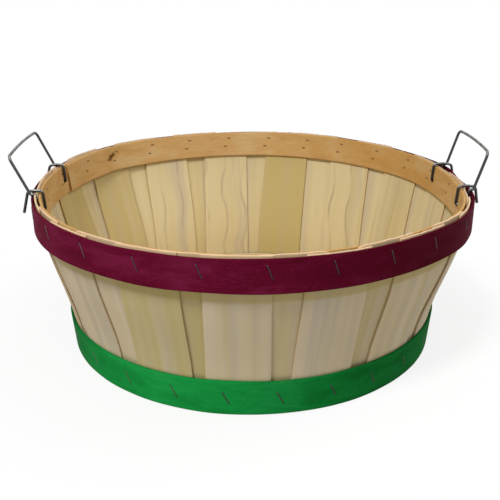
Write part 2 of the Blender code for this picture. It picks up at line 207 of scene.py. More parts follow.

# How a value becomes a share, a shift or a roughness: the value's range, then the result at its
# start and at its end. The painted shadow under the top hoop and the torn end go by the height up
# a stave, the floor by the distance from the basket's axis.
SHARES = {
    "facing in": (0.03, -0.03, 0.0, 1.0),
    "grain aside": (0.36, 0.64, -0.0052, 0.0052),
    "heartwood": (0.55, 1.35, 0.0, 1.0),
    "grey bands": (0.47, 0.68, 0.0, 0.48),
    "grey on heartwood": (0.0, 1.0, 1.0, 0.35),
    "streak": (0.105, 0.0, 0.0, 0.50),
    "streak breaks": (0.38, 0.60, 0.15, 1.0),
    "fine grain": (0.35, 0.70, 0.0, 0.14),
    "pores": (0.60, 0.78, 0.0, 0.13),
    # Painted shadow of the top hoop on the outer veneer, by the height up the stave
    "painted hoop shadow": (0.1375, 0.1425, 0.0, 0.65),
    "torn end": (0.1835, 0.1865, 0.0, 0.8),
    "cut top": (0.55, 0.85, 0.0, 0.9),
    "veneer roughness": (0.2, 0.8, 0.86, 0.66),
    "light clouds": (0.48, 0.66, 0.0, 0.45),
    "dark clouds": (0.49, 0.34, 0.0, 0.45),
    "dark grain": (0.42, 0.66, 0.0, 0.35),
    "light fibre": (0.54, 0.70, 0.0, 0.60),
    # Darkening of the hoops: uneven dye and wood, with painted shade
    "dye and painted shade": (0.7, 0.3, 0.80, 1.0),
    "hoop roughness": (0.2, 0.8, 0.84, 0.66),
    "knot halo": (0.008, 0.001, 0.0, 0.35),
    "knot tail": (0.0030, 0.0006, 0.0, 0.85),
    "knot core": (0.0040, 0.0012, 0.0, 0.95),
    "board bands": (0.35, 0.75, 0.0, 1.0),
    "board grain": (0.48, 0.75, 0.0, 0.5),
    "board roughness": (0.2, 0.8, 0.90, 0.70),
    # Painted highlight on the wires, by how far they face up
    "painted wire highlight": (0.20, 0.90, 0.0, 1.0),
    "tarnish": (0.42, 0.66, 0.0, 0.45),
    "wire roughness": (0.3, 0.7, 0.0, 0.22),
    "open floor": (0.2192, 0.2226, 0.0, 1.0),
}

# Relief of each finish: depth and strength. Then the weight of what lies on top of its grain.
RELIEF = {
    "veneer": (0.00020, 0.5),
    "hoop": (0.00025, 0.6),
    "board": (0.0003, 0.5),
    "wire": (0.0001, 0.5),
}
PORE_RELIEF = 0.6
FIBRE_RELIEF = 0.7
SAW_RELIEF = 0.5

# Veneer: weight of the heartwood's bands, flaws and streaks in a metre, its edges and its gloss
HEART_BANDS = 1.1
FLAWS_PER_METRE = 13.0
STREAKS_PER_METRE = 34.0
EDGE_RAGGEDNESS = 0.0006
EDGE_FADE = 0.0005
EDGE_SHARE = 0.50
VENEER_SPECULAR = 0.12

# Hoops: how mottled each one is, the dark edges (wear and dye, with painted shade where the
# edges meet the staves), dark ends, marks of the staples (rust and bruises, with painted shade
# of a dent) and gloss
MAROON_MOTTLE, TAN_MOTTLE, GREEN_MOTTLE = 0.75, 0.7, 0.55
HOOP_WEAR_AND_SHADE = 0.0016
HOOP_WEAR_AND_SHADE_FADE = 0.0013
HOOP_WEAR_AND_SHADE_SHARE = 0.65
HOOP_END_FADE = 0.0012
HOOP_END_SHARE = 0.8
MARK_CORE = 0.4
MARK_SHARE = 0.9
CLINCH_MARK = 0.0015
HOOP_SPECULAR = 0.04

# Parts of the knot: share, colour, place from its middle, turn and half length
KNOT_WOBBLE = 0.005
KNOT_MARKS = (
    ("knot halo", "tan_hoop_dark", (0.0, -0.001), math.radians(90), 0.006),
    ("knot tail", "clinch", (0.0050, -0.0045), math.radians(100), 0.0030),
    ("knot core", "knot", (0.0, 0.0), math.radians(66), 0.0034),
)

# Wire: scale and detail of its tarnish and its pits, its metal and its two roughnesses
WIRE_PATCHES = (160.0, 4.0)
WIRE_PITS = (900.0, 2.0)
WIRE_METALLIC = 0.85
HANDLE_ROUGHNESS = 0.34
STAPLE_ROUGHNESS = 0.38

# Sockets of a node that mixes colours: the factor and the two colours
MIX_FACTOR, MIX_FIRST, MIX_SECOND = 0, 6, 7

# Stage: places of the lights, the floor's finish, and the camera's sensor, shift and near clip
KEY_PLACE = (-1.05, -1.7, 3.0)
FILL_PLACE = (1.8, 0.3, 2.1)
FLOOR_ROUGHNESS = 0.9
FLOOR_SPECULAR = 0.1
WHITE = (1, 1, 1, 1)
PHOTO_SIDE = 500
CAMERA_SENSOR = 36.0
CAMERA_SHIFT = (-1.207 / PHOTO_SIDE, -7.159 / PHOTO_SIDE)
CAMERA_NEAR = 0.01


def length(name, description, default):
    """Size in metres."""
    return bpy.props.FloatProperty(
        name=name, description=description, default=default, unit="LENGTH", precision=4)


def turn(name, description, degrees):
    """Angle, given here in degrees."""
    return bpy.props.FloatProperty(
        name=name, description=description, default=math.radians(degrees), subtype="ANGLE")


def colour(name, description, default):
    """Linear colour."""
    return bpy.props.FloatVectorProperty(
        name=name, description=description, default=default, subtype="COLOR", min=0, max=1)


def share(name, description, default):
    """Plain factor."""
    return bpy.props.FloatProperty(name=name, description=description, default=default, min=0)


class TubWallSizes(bpy.types.PropertyGroup):
    """Sizes of the wall, its staves and the floor."""

    rim_radius: length("Rim radius", "Outer radius of the top hoop", 0.260)
    foot_radius: length("Foot radius", "Outer radius at the foot of the bottom hoop", 0.2228)
    tub_height: length("Height", "Height of the tub without its handles", 0.189)
    stave_width: length("Stave width", "Width of every stave", 0.066)
    stave_thickness: length("Stave thickness", "Thickness of the veneer", 0.0018)
    layer_gap: length("Layer gap", "Gap between the two layers of staves", 0.0004)
    foot_clearance: length("Foot clearance", "Height of the staves' lower ends", 0.0005)
    edge_curl: length("Edge curl", "How far the staves' edges curl between the hoops", 0.0004)
    edge_wander: length("Edge wander", "How far the staves' edges run out of true", 0.0007)
    top_raggedness: length("Ragged tops", "How uneven the staves' cut tops are", 0.0006)
    stave_edge_round: length("Edge rounding", "Bevel on the edges of the staves", 0.00030)
    board_gap: length("Board gap", "Gap between the floor boards", 0.0012)
    board_thickness: length("Board thickness", "Thickness of the floor boards", 0.004)
    board_edge_round: length("Board rounding", "Bevel on the edges of the floor boards", 0.0007)
    floor_recess: length("Floor recess", "Height of the floor boards' lower face", 0.0008)
    floor_clearance: length("Floor clearance", "Gap between the floor and the wall", 0.0010)
    board_count: bpy.props.IntProperty(
        name="Floor boards", description="Number of floor boards", default=7, min=1)


class HoopSizes(bpy.types.PropertyGroup):
    """Sizes of the three hoops."""

    thickness: length("Thickness", "Thickness of the hoop strips", 0.0022)
    top_width: length("Top width", "Width of the two top hoops", 0.0352)
    outer_drop: length("Outer drop", "How far the outer top hoop sits under the rim", 0.0010)
    bottom_width: length("Bottom width", "Width of the bottom hoop", 0.0413)
    bottom_flare: length("Bottom flare", "How far the bottom hoop leans out", 0.0036)
    lap: length("Lap", "How far the ends of a hoop overlap", 0.070)
    lap_ramp: length("Lap ramp", "Length over which the tail climbs on the head", 0.045)
    lap_gap: length("Lap gap", "Gap between the lapped ends", 0.0004)
    fit: length("Fit", "Gap between a hoop and the staves", 0.0008)
    top_standoff: length("Top standoff", "Gap at the top hoop's lower edge", 0.0045)
    bottom_standoff: length("Bottom standoff", "Gap at the bottom hoop's upper edge", 0.0008)
    edge_wander: length("Edge wander", "How far the hoops' edges run out of true", 0.0006)
    edge_round: length("Edge rounding", "Bevel on the edges of the hoops", 0.00055)


class WireSizes(bpy.types.PropertyGroup):
    """Sizes of the wire handles and the staples."""

    diameter: length("Wire diameter", "Diameter of the handle wire", 0.0033)
    clearance: length("Wire clearance", "Room round the wire in its holes", 0.0005)
    hook_inset: length("Hook inset", "How far the hooks stand in from the legs", 0.0065)
    grip_height: length("Grip height", "Height of the grip above the rim", 0.0450)
    grip_bow: length("Grip bow", "Rise of the grip's middle", 0.0017)
    grip_corner: length("Grip corner", "Bend radius between leg and grip", 0.007)
    hole_depth: length("Hole depth", "How far under the rim the wall is pierced", 0.0180)
    leg_step_out: length("Leg step", "How far a leg steps out over the top hoop's edge", 0.0045)
    leg_bend: length("Leg bend", "Bend radius at the leg's step", 0.0022)
    arch_rise: length("Arch rise", "Height of the arch over the rim", 0.0029)
    arch_crest: length("Arch crest", "Rise of the arch's middle", 0.0010)
    crest_bend: length("Crest bend", "Bend radius on top of the arch", 0.010)
    inner_bend: length("Inner bend", "Bend radius at the arch's inner end", 0.0037)
    outer_bend: length("Outer bend", "Bend radius at the arch's outer end", 0.0050)
    notch_headroom: length("Notch headroom", "Depth of the cut that clears the arch", 0.006)
    swing: turn("Swing", "How far a handle rocks in", 3)
    bulge_reach: turn("Bulge reach", "Half width of the hoop's bulge at a leg", 16)
    staple_diameter: length("Staple wire", "Diameter of the staple wire", 0.00066)
    staple_crown: length("Staple crown", "Length of a staple between its legs", 0.0157)
    clinch_length: length("Clinch", "Length of a staple's folded ends", 0.0032)
    clinch_pinch: share("Clinch pinch", "How far apart the folded ends are, of the crown", 0.82)
    top_staple_height: length("Top staples", "Height of the top staples' middles", 0.1745)
    top_staple_tilt: turn("Top staple tilt", "Lean of the top staples", 21)
    bottom_staple_tilt: turn("Bottom staple tilt", "Lean of the bottom staples", 27)
    # No dent is modelled: this is the half width of the painted shade and rust beside each staple
    groove: length("Staple groove", "Half width of the dark dent that a staple lies in", 0.0011)
    staple_count: bpy.props.IntProperty(
        name="Staples", description="Number of staples round each hoop", default=25, min=1)


class BasketColours(bpy.types.PropertyGroup):
    """Colours of the wood, the dyes and the wires."""

    pale_veneer: colour("Pale veneer", "Sapwood of the staves, outside", (0.735, 0.60, 0.415))
    tan_veneer: colour("Tan veneer", "Heartwood of the staves, outside", (0.58, 0.465, 0.205))
    grey_veneer: colour("Grey veneer", "Weathered bands of the staves", (0.50, 0.43, 0.35))
    inner_pale: colour("Inner pale veneer", "Sapwood of the staves, inside", (0.715, 0.597, 0.345))
    inner_tan: colour("Inner tan veneer", "Heartwood of the staves, inside", (0.56, 0.44, 0.18))
    mineral: colour("Mineral streak", "Purple-grey streaks in the staves", (0.31, 0.20, 0.155))
    # Brown cut edges of the veneer, which also paint the shade in the seams between staves
    cut_edge_and_seam_shade: colour("Cut edge", "Dark edges of the veneer", (0.50, 0.25, 0.055))
    # Colour of the painted shadow that the top hoop casts on the veneer below it
    painted_hoop_shadow: colour("Damp band", "Veneer darkened under the top hoop", (0.52, 0.39, 0.125))
    torn_end: colour("Torn end", "Fresh wood on the staves' cut tops", (0.75, 0.53, 0.33))
    # Painted shade on the staves' cut tops at the back of the rim
    rim_painted_shade: colour("Rim stain", "Dye and dirt on the staves' cut tops", (0.085, 0.035, 0.030))
    tan_hoop: colour("Tan hoop", "Wood of the inner hoop", (0.65, 0.40, 0.165))
    tan_hoop_dark: colour("Tan hoop, dark", "Grain of the inner hoop", (0.47, 0.24, 0.05))
    maroon: colour("Maroon dye", "Dye of the top hoop", (0.130, 0.003, 0.023))
    maroon_light: colour("Maroon dye, light", "Thin dye of the top hoop", (0.24, 0.020, 0.075))
    maroon_dark: colour("Maroon dye, dark", "Thick dye of the top hoop", (0.060, 0.0005, 0.006))
    green: colour("Green dye", "Dye of the bottom hoop", (0.009, 0.350, 0.062))
    green_light: colour("Green dye, light", "Thin dye of the bottom hoop", (0.045, 0.46, 0.115))
    green_dark: colour("Green dye, dark", "Thick dye of the bottom hoop", (0.0006, 0.095, 0.011))
    floor_pale: colour("Floor boards", "Wood of the floor", (0.62, 0.50, 0.31))
    floor_dark: colour("Floor grain", "Grain of the floor", (0.42, 0.31, 0.16))
    # Painted shade of a dent beside each staple, with rust
    rust_and_dent_shade: colour("Rust stain", "Stain round the staples", (0.022, 0.012, 0.008))
    clinch: colour("Clinch stain", "Bruised wood at the staples' ends", (0.20, 0.095, 0.035))
    knot: colour("Knot", "Core of the knot", (0.12, 0.050, 0.012))
    # Handle wire: painted highlight on its upper side; the dark colour is tarnish with painted shade
    # below
    steel: colour("Handle steel", "Rubbed upper side of the handle wire", (0.25, 0.25, 0.24))
    steel_dark: colour("Handle steel, dark", "Tarnish of the handle wire", (0.065, 0.063, 0.060))
    # Staples: painted highlight on their upper sides; the dark colour is tarnish with painted shade
    # below
    staple_steel: colour("Staple steel", "Upper ends of the staples", (0.42, 0.38, 0.37))
    staple_dark: colour("Staple steel, dark", "Tarnish of the staples", (0.085, 0.070, 0.073))


class StageSettings(bpy.types.PropertyGroup):
    """Floor, light and camera."""

    floor_size: length("Floor size", "Side of the floor", 40.0)
    floor_colour: colour("Floor colour", "Pale floor", (0.90, 0.90, 0.90))
    floor_bounce: colour("Floor bounce", "Floor as it lights the basket", (0.50, 0.50, 0.50))
    glow_start: length("Glow start", "Where the floor starts to turn plain white", 0.26)
    glow_end: length("Glow end", "Where the floor is plain white", 0.45)
    floor_glow: share("Floor glow", "Share of plain white near the basket", 0.80)
    world_strength: share("World light", "Strength of the light from all sides", 0.33)
    key_power: share("Key light", "Power of the key light in watts", 86)
    key_size: length("Key size", "Side of the key light", 0.7)
    fill_size: length("Fill size", "Side of the fill light", 1.6)
    fill_power: share("Fill light", "Power of the fill light in watts", 25)
    camera_distance: length("Camera distance", "From the aim point to the camera", 0.936)
    camera_height: turn("Camera height", "Angle of the camera above the horizon", 20.97)
    camera_roll: turn("Camera roll", "Roll of the camera", -0.229)
    aim_height: length("Aim height", "Height of the aim point", 0.104)
    lens: bpy.props.FloatProperty(name="Lens", description="Focal length", default=53.74, unit="CAMERA")


def ease(fraction):
    """Smooth step from 0 to 1."""
    fraction = min(max(fraction, 0.0), 1.0)
    return fraction * fraction * (3 - 2 * fraction)


def polar(radius, angle, height):
    """Point at a radius and an angle round the basket's axis."""
    return Vector((radius * math.cos(angle), radius * math.sin(angle), height))


def angle_between(angle, other):
    """Size of the smaller turn between two angles."""
    return abs((angle - other + math.pi) % (2 * math.pi) - math.pi)


def swell(angle, waves):
    """Sum of rounded swells, given as (where, reach to each side, amount)."""
    total = 0.0
    for centre, reach, amount in waves:
        off = min(angle_between(angle, centre) / reach, 1.0)
        total += amount * (1 + math.cos(math.pi * off)) / 2
    return total


def smooth_curve(stations, position):
    """Value of a smooth curve through (position, value) stations."""
    steps = [
        (upper[1] - lower[1]) / (upper[0] - lower[0])
        for lower, upper in zip(stations, stations[1:])
    ]
    slopes = [steps[0]]
    slopes += [(before + after) / 2 for before, after in zip(steps, steps[1:])]
    slopes.append(steps[-1])
    span = len(stations) - 2
    for index in range(len(stations) - 1):
        if position <= stations[index + 1][0]:
            span = index
            break
    (start, low), (end, high) = stations[span], stations[span + 1]
    length_of_span = end - start
    t = (position - start) / length_of_span
    if t > 1:
        return high + slopes[-1] * (position - end)
    rise = high - low
    turn_in = slopes[span] * length_of_span - rise
    turn_out = rise - slopes[span + 1] * length_of_span
    return low + rise * t + t * (1 - t) * (turn_in * (1 - t) + turn_out * t)


class TubWall:
    """The shape of the wall: how far out its layers lie at a height and an angle."""

    def __init__(self, scene):
        walls, hoops = scene.basket_wall, scene.basket_hoops
        self.height = walls.tub_height
        self.top_hoop_foot = walls.tub_height - hoops.top_width
        self.bottom_hoop_top = hoops.bottom_width
        self.inner_layer = walls.stave_thickness + walls.layer_gap
        self.thickness = walls.stave_thickness + self.inner_layer
        self.inner_hoop = self.thickness + hoops.fit
        top = walls.rim_radius - hoops.thickness
        foot = walls.foot_radius - hoops.thickness
        self.stations = (
            (0.0, foot - hoops.fit),
            (self.bottom_hoop_top, foot + hoops.bottom_flare - hoops.bottom_standoff),
            (self.top_hoop_foot, top - hoops.top_standoff),
            (walls.tub_height, top - hoops.fit),
        )

    def radius(self, height, angle=None):
        """Radius of the outer staves' outer face, round or with the rim's waves."""
        radius = smooth_curve(self.stations, height)
        if angle is not None:
            climb = (height - self.bottom_hoop_top) / (self.top_hoop_foot - self.bottom_hoop_top)
            radius += swell(angle, RIM_WAVES) * ease(climb)
        return radius

    def free_span(self, height):
        """From 0 under the hoops to 1 midway between them."""
        climb = (height - self.bottom_hoop_top) / (self.top_hoop_foot - self.bottom_hoop_top)
        return math.sin(math.pi * min(max(climb, 0.0), 1.0)) ** 0.5


class HoopShape:
    """A strip bent to a ring, whose tail laps over its head."""

    def __init__(self, hoops, low, high, lap_angle, lap_side, waves=()):
        self.low, self.high = low, high
        self.lap_angle, self.lap_side, self.waves = lap_angle, lap_side, waves
        self.thickness = hoops.thickness
        self.reach = max(low[1], high[1])
        self.lap = hoops.lap / self.reach
        self.ramp = hoops.lap_ramp / self.reach
        self.lift = lap_side * (hoops.thickness + hoops.lap_gap)

    def face(self, travel, height):
        """Radius of the outer face, at a travel from the head."""
        climb = (height - self.low[0]) / (self.high[0] - self.low[0])
        radius = self.low[1] + (self.high[1] - self.low[1]) * climb
        radius += self.lift * ease((travel - 2 * math.pi + self.ramp) / self.ramp)
        return radius + swell(self.lap_angle + travel, self.waves)

    def shown_face(self, angle, height):
        """Radius of the face that shows: the outer one, or the inner one of an inside hoop."""
        travel = (angle - self.lap_angle) % (2 * math.pi)
        if travel < self.lap:
            travel += 2 * math.pi
        radius = self.face(travel, height)
        return radius if self.lap_side == OUTSIDE else radius - self.thickness


def plan_leg(scene, wall, handle, out, side):
    """Places of the bends at one side of a handle, in the handle's own frame."""
    wires, hoops = scene.basket_wires, scene.basket_hoops
    wire_radius = wires.diameter / 2
    hole_height = wall.height - wires.hole_depth
    leg_across = handle["across"] + side * handle["half_span"]
    hook_across = leg_across - side * wires.hook_inset
    angle = handle["facing"] + math.atan2(leg_across, out)
    hook_angle = handle["facing"] + math.atan2(hook_across, out)
    room = wire_radius + wires.clearance
    leg_radius = math.hypot(out, leg_across)
    bulge = max(leg_radius + room - wall.radius(wall.height, angle) - hoops.fit, 0.0)
    hook_wall = wall.radius(wall.height, hook_angle)
    hoop_outer = hook_wall + hoops.fit + bulge + hoops.thickness
    hoop_face = wall.inner_hoop + hoops.thickness + room
    swing_room = (wires.hole_depth + wires.arch_rise) * math.sin(wires.swing)
    return {
        "side": side,
        "angle": angle,
        "leg_across": leg_across,
        "hook_across": hook_across,
        "wave": (angle, wires.bulge_reach, bulge),
        "inside_low": chord_out(wall.radius(hole_height, hook_angle) - hoop_face, hook_across),
        "inside_high": chord_out(hook_wall - hoop_face, hook_across),
        "outside_high": chord_out(hoop_outer + room, hook_across) + swing_room,
    }


def chord_out(radius, across):
    """Distance outwards to a circle, at an offset across."""
    return math.sqrt(radius * radius - across * across)


def plan_handle(scene, wall, handle):
    """The handle's values with its hinge and both legs: x outwards, y along the rim, z up."""
    hole_height = wall.height - scene.basket_wires.hole_depth
    wall_slope = wall.radius(wall.height) - wall.radius(hole_height)
    rim = wall.radius(wall.height, handle["facing"])
    out = chord_out(rim, handle["half_span"]) + handle["stand_out"]
    return {
        **handle,
        "out": out,
        "hinge": Vector((out - wall_slope, handle["across"], hole_height)),
        "legs": [plan_leg(scene, wall, handle, out, side) for side in (-1, 1)],
    }


def wire_corners(scene, wall, plan):
    """Corners of the wire from one free tip to the other, with the radius of each bend."""
    wires, hoops = scene.basket_wires, scene.basket_hoops
    hinge, out = plan["hinge"], plan["out"]
    tight = wires.diameter / 2
    over_hoop = wall.height - hoops.outer_drop + tight + wires.clearance
    step_out = out + wires.leg_step_out
    grip = wall.height + wires.grip_height
    grip_out = step_out + (grip - over_hoop) * math.tan(plan["lean"])
    arch = wall.height + wires.arch_rise
    halves = []
    for leg in plan["legs"]:
        tip_out = leg["outside_high"] + plan["tip_drop"] * math.tan(plan["tip_splay"])
        outside = Vector((leg["outside_high"], leg["hook_across"], arch))
        inside = Vector((leg["inside_high"], leg["hook_across"], arch))
        halves.append([
            (Vector((tip_out, leg["hook_across"], arch - plan["tip_drop"])), 0.0),
            (outside, wires.outer_bend),
            ((outside + inside) / 2 + Vector((0, 0, wires.arch_crest)), wires.crest_bend),
            (inside, wires.inner_bend),
            (Vector((leg["inside_low"], leg["hook_across"], hinge.z)), tight),
            (Vector((hinge.x, leg["leg_across"], hinge.z)), tight),
            (Vector((out, leg["leg_across"], over_hoop)), wires.leg_bend),
            (Vector((step_out, leg["leg_across"], over_hoop)), wires.leg_bend),
            (Vector((grip_out, leg["leg_across"], grip)), wires.grip_corner),
        ])
    return halves[0] + halves[1][::-1]


def rounded_path(corners, bend_steps):
    """Points along straight runs joined by arcs."""
    points = [corners[0][0]]
    for index in range(1, len(corners) - 1):
        corner, bend = corners[index]
        back = (corners[index - 1][0] - corner).normalized()
        ahead = (corners[index + 1][0] - corner).normalized()
        half = back.angle(ahead) / 2
        reach = bend / math.tan(half)
        centre = corner + (back + ahead).normalized() * (bend / math.sin(half))
        start = corner + back * reach - centre
        end = corner + ahead * reach - centre
        sweep = start.angle(end)
        for step in range(bend_steps + 1):
            turned = sweep * step / bend_steps
            arm = start * math.sin(sweep - turned) + end * math.sin(turned)
            points.append(centre + arm / math.sin(sweep))
    points.append(corners[-1][0])
    return points


def deselect_all():
    """Leave nothing selected."""
    bpy.ops.object.select_all(action="DESELECT")


def apply_modifier(piece, kind, **settings):
    """Add a modifier with these settings and apply it."""
    modifier = piece.modifiers.new(kind.title(), kind)
    for key, value in settings.items():
        setattr(modifier, key, value)
    bpy.context.view_layer.objects.active = piece
    bpy.ops.object.modifier_apply(modifier=modifier.name)


def shade(piece):
    """Smooth shading except over sharp edges."""
    deselect_all()
    piece.select_set(True)
    bpy.context.view_layer.objects.active = piece
    bpy.ops.object.shade_smooth_by_angle(angle=SMOOTH_BELOW)


def add_strip(name, faces, place, pattern):
    """Grid laid out by place(across, along), with its UV map in metres from pattern."""
    deselect_all()
    bpy.ops.mesh.primitive_grid_add(x_subdivisions=faces[0], y_subdivisions=faces[1], size=1)
    strip = bpy.context.object
    strip.name = strip.data.name = name
    mesh = strip.data
    shares = [(vertex.co.x + 0.5, vertex.co.y + 0.5) for vertex in mesh.vertices]
    coordinates = mesh.uv_layers.active.data
    for corner in mesh.loops:
        coordinates[corner.index].uv = pattern(*shares[corner.vertex_index])
    for vertex, (across, along) in zip(mesh.vertices, shares):
        vertex.co = place(across, along)
    return strip


def round_edges(piece, width):
    """Bevel a piece's sharp edges."""
    apply_modifier(
        piece, "BEVEL", width=width, segments=BEVEL_STEPS, limit_method="ANGLE",
        angle_limit=BEVEL_FROM)


def thicken(strip, thickness, rounding):
    """Give a strip its thickness on the inside and round its edges."""
    apply_modifier(strip, "SOLIDIFY", thickness=thickness, offset=-1)
    round_edges(strip, rounding)


def set_attribute(piece, name, values):
    """Store one number per vertex."""
    attribute = piece.data.attributes.new(name, "FLOAT", "POINT")
    attribute.data.foreach_set("value", values)


def finish_piece(piece, material, slot, body, *nodes):
    """Give a piece its material and its place in the frame."""
    piece.data.materials.clear()
    piece.data.materials.append(material)
    shade(piece)
    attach(piece, body)
    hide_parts(*nodes)


def new_material(name):
    """Material with its node tree and its shader."""
    material = bpy.data.materials.new(name)
    material.use_nodes = True
    return material, material.node_tree, material.node_tree.nodes["Principled BSDF"]


def add_node(tree, kind, inputs=(), **settings):
    """Node with settings, whose inputs take values or the sockets of other nodes."""
    node = tree.nodes.new(kind)
    for key, value in settings.items():
        setattr(node, key, value)
    for key, value in dict(inputs).items():
        if isinstance(value, bpy.types.NodeSocket):
            tree.links.new(value, node.inputs[key])
        else:
            node.inputs[key].default_value = value
    return node


def calculate(tree, operation, *values):
    """Result of a math node."""
    node = add_node(tree, "ShaderNodeMath", enumerate(values), operation=operation)
    return node.outputs[0]


def times(tree, first, second):
    """Product of two values."""
    return calculate(tree, "MULTIPLY", first, second)


def plus(tree, first, second):
    """Sum of two values."""
    return calculate(tree, "ADD", first, second)


def minus(tree, first, second):
    """First value less the second."""
    return calculate(tree, "SUBTRACT", first, second)


def size_of(tree, value):
    """The value without its sign."""
    return calculate(tree, "ABSOLUTE", value)


def remap(tree, value, low, high, to_low, to_high):
    """Value moved smoothly from one range to another."""
    inputs = {"Value": value, "From Min": low, "From Max": high, "To Min": to_low, "To Max": to_high}
    node = add_node(tree, "ShaderNodeMapRange", inputs, interpolation_type="SMOOTHSTEP")
    return node.outputs["Result"]


def share_of(tree, value, name, strength=1.0):
    """Share that a value gives, by a named row of SHARES."""
    low, high, share_low, share_high = SHARES[name]
    return remap(tree, value, low, high, share_low * strength, share_high * strength)


def blend(tree, factor, first, second):
    """Mix of two colours, each a socket or a plain colour."""
    node = tree.nodes.new("ShaderNodeMix")
    node.data_type = "RGBA"
    for socket, value in ((MIX_FACTOR, factor), (MIX_FIRST, first), (MIX_SECOND, second)):
        if isinstance(value, bpy.types.NodeSocket):
            tree.links.new(value, node.inputs[socket])
        elif socket == MIX_FACTOR:
            node.inputs[socket].default_value = value
        else:
            node.inputs[socket].default_value = (*value, 1.0)
    return node.outputs[2]


def read_attribute(tree, name):
    """The number stored on the piece's vertices."""
    return add_node(tree, "ShaderNodeAttribute", attribute_name=name).outputs["Fac"]


def strip_point(tree):
    """The piece's UV map with its own number as the third coordinate, so no two look alike."""
    uv = add_node(tree, "ShaderNodeUVMap").outputs["UV"]
    split = add_node(tree, "ShaderNodeSeparateXYZ", {0: uv})
    number = read_attribute(tree, "number")
    inputs = {0: split.outputs["X"], 1: split.outputs["Y"], 2: number}
    return add_node(tree, "ShaderNodeCombineXYZ", inputs).outputs[0], split


def streaks(tree, point, name):
    """Noise drawn out along the grain, by a named row of GRAIN."""
    length_u, length_v, shift, detail, distortion = GRAIN[name]
    mapping = add_node(tree, "ShaderNodeMapping", {
        "Vector": point, "Scale": (1 / length_u, 1 / length_v, 1.0),
        "Location": (shift, shift, 0.0)})
    node = add_node(tree, "ShaderNodeTexNoise", {
        "Vector": mapping.outputs[0], "Scale": 1.0, "Detail": detail, "Distortion": distortion})
    return node.outputs["Fac"]


def add_relief(tree, shader, height, finish):
    """Surface relief from a height value, by a named row of RELIEF."""
    depth, strength = RELIEF[finish]
    node = add_node(tree, "ShaderNodeBump", {
        "Height": height, "Distance": depth, "Strength": strength})
    tree.links.new(node.outputs["Normal"], shader.inputs["Normal"])


def facing_in(tree):
    """1 where the surface faces the basket's inside, 0 where it faces out."""
    place = add_node(tree, "ShaderNodeTexCoord").outputs["Object"]
    normal = add_node(tree, "ShaderNodeNewGeometry").outputs["Normal"]
    outward = add_node(tree, "ShaderNodeVectorMath", {0: place, 1: normal}, operation="DOT_PRODUCT")
    return share_of(tree, outward.outputs["Value"], "facing in")


def facing_up(tree):
    """How far the surface faces up, from -1 to 1."""
    normal = add_node(tree, "ShaderNodeNewGeometry").outputs["Normal"]
    return add_node(tree, "ShaderNodeSeparateXYZ", {0: normal}).outputs["Z"]


def wavy_grain(tree, point, split):
    """The pattern's point moved aside here and there, where the grain runs round a flaw."""
    along = add_node(tree, "ShaderNodeCombineXYZ", {
        0: times(tree, split.outputs["Y"], FLAWS_PER_METRE), 1: read_attribute(tree, "number")})
    waves = add_node(tree, "ShaderNodeTexNoise", {
        "Vector": along.outputs[0], "Scale": 1.0, "Detail": 1.0})
    aside = share_of(tree, waves.outputs["Fac"], "grain aside")
    aside = times(tree, aside, read_attribute(tree, "streaks"))
    shift = add_node(tree, "ShaderNodeCombineXYZ", {0: aside})
    moved = add_node(tree, "ShaderNodeVectorMath", {0: point, 1: shift.outputs[0]}, operation="ADD")
    return moved.outputs[0]


def mineral_streaks(tree, wavy):
    """Share of the dark streaks that run up a stave side by side, broken here and there."""
    across = add_node(tree, "ShaderNodeSeparateXYZ", {0: wavy}).outputs["X"]
    lanes = plus(tree, times(tree, across, STREAKS_PER_METRE), read_attribute(tree, "number"))
    off_middle = size_of(tree, minus(tree, calculate(tree, "FRACT", lanes), 0.5))
    unbroken = share_of(tree, streaks(tree, wavy, "streak breaks"), "streak breaks")
    mark = times(tree, share_of(tree, off_middle, "streak"), unbroken)
    return times(tree, mark, read_attribute(tree, "streaks"))


def edge_brown_and_seam_shade(tree, point, split, half_width):
    """Share of the brown along a stave's two cut edges: the cut wood's colour, with painted shade of
    the seam where staves overlap.
    """
    ragged = times(tree, streaks(tree, point, "ragged edge"), EDGE_RAGGEDNESS)
    aside = plus(tree, size_of(tree, split.outputs["X"]), ragged)
    return remap(tree, aside, half_width, half_width + EDGE_FADE, 0.0, EDGE_SHARE)


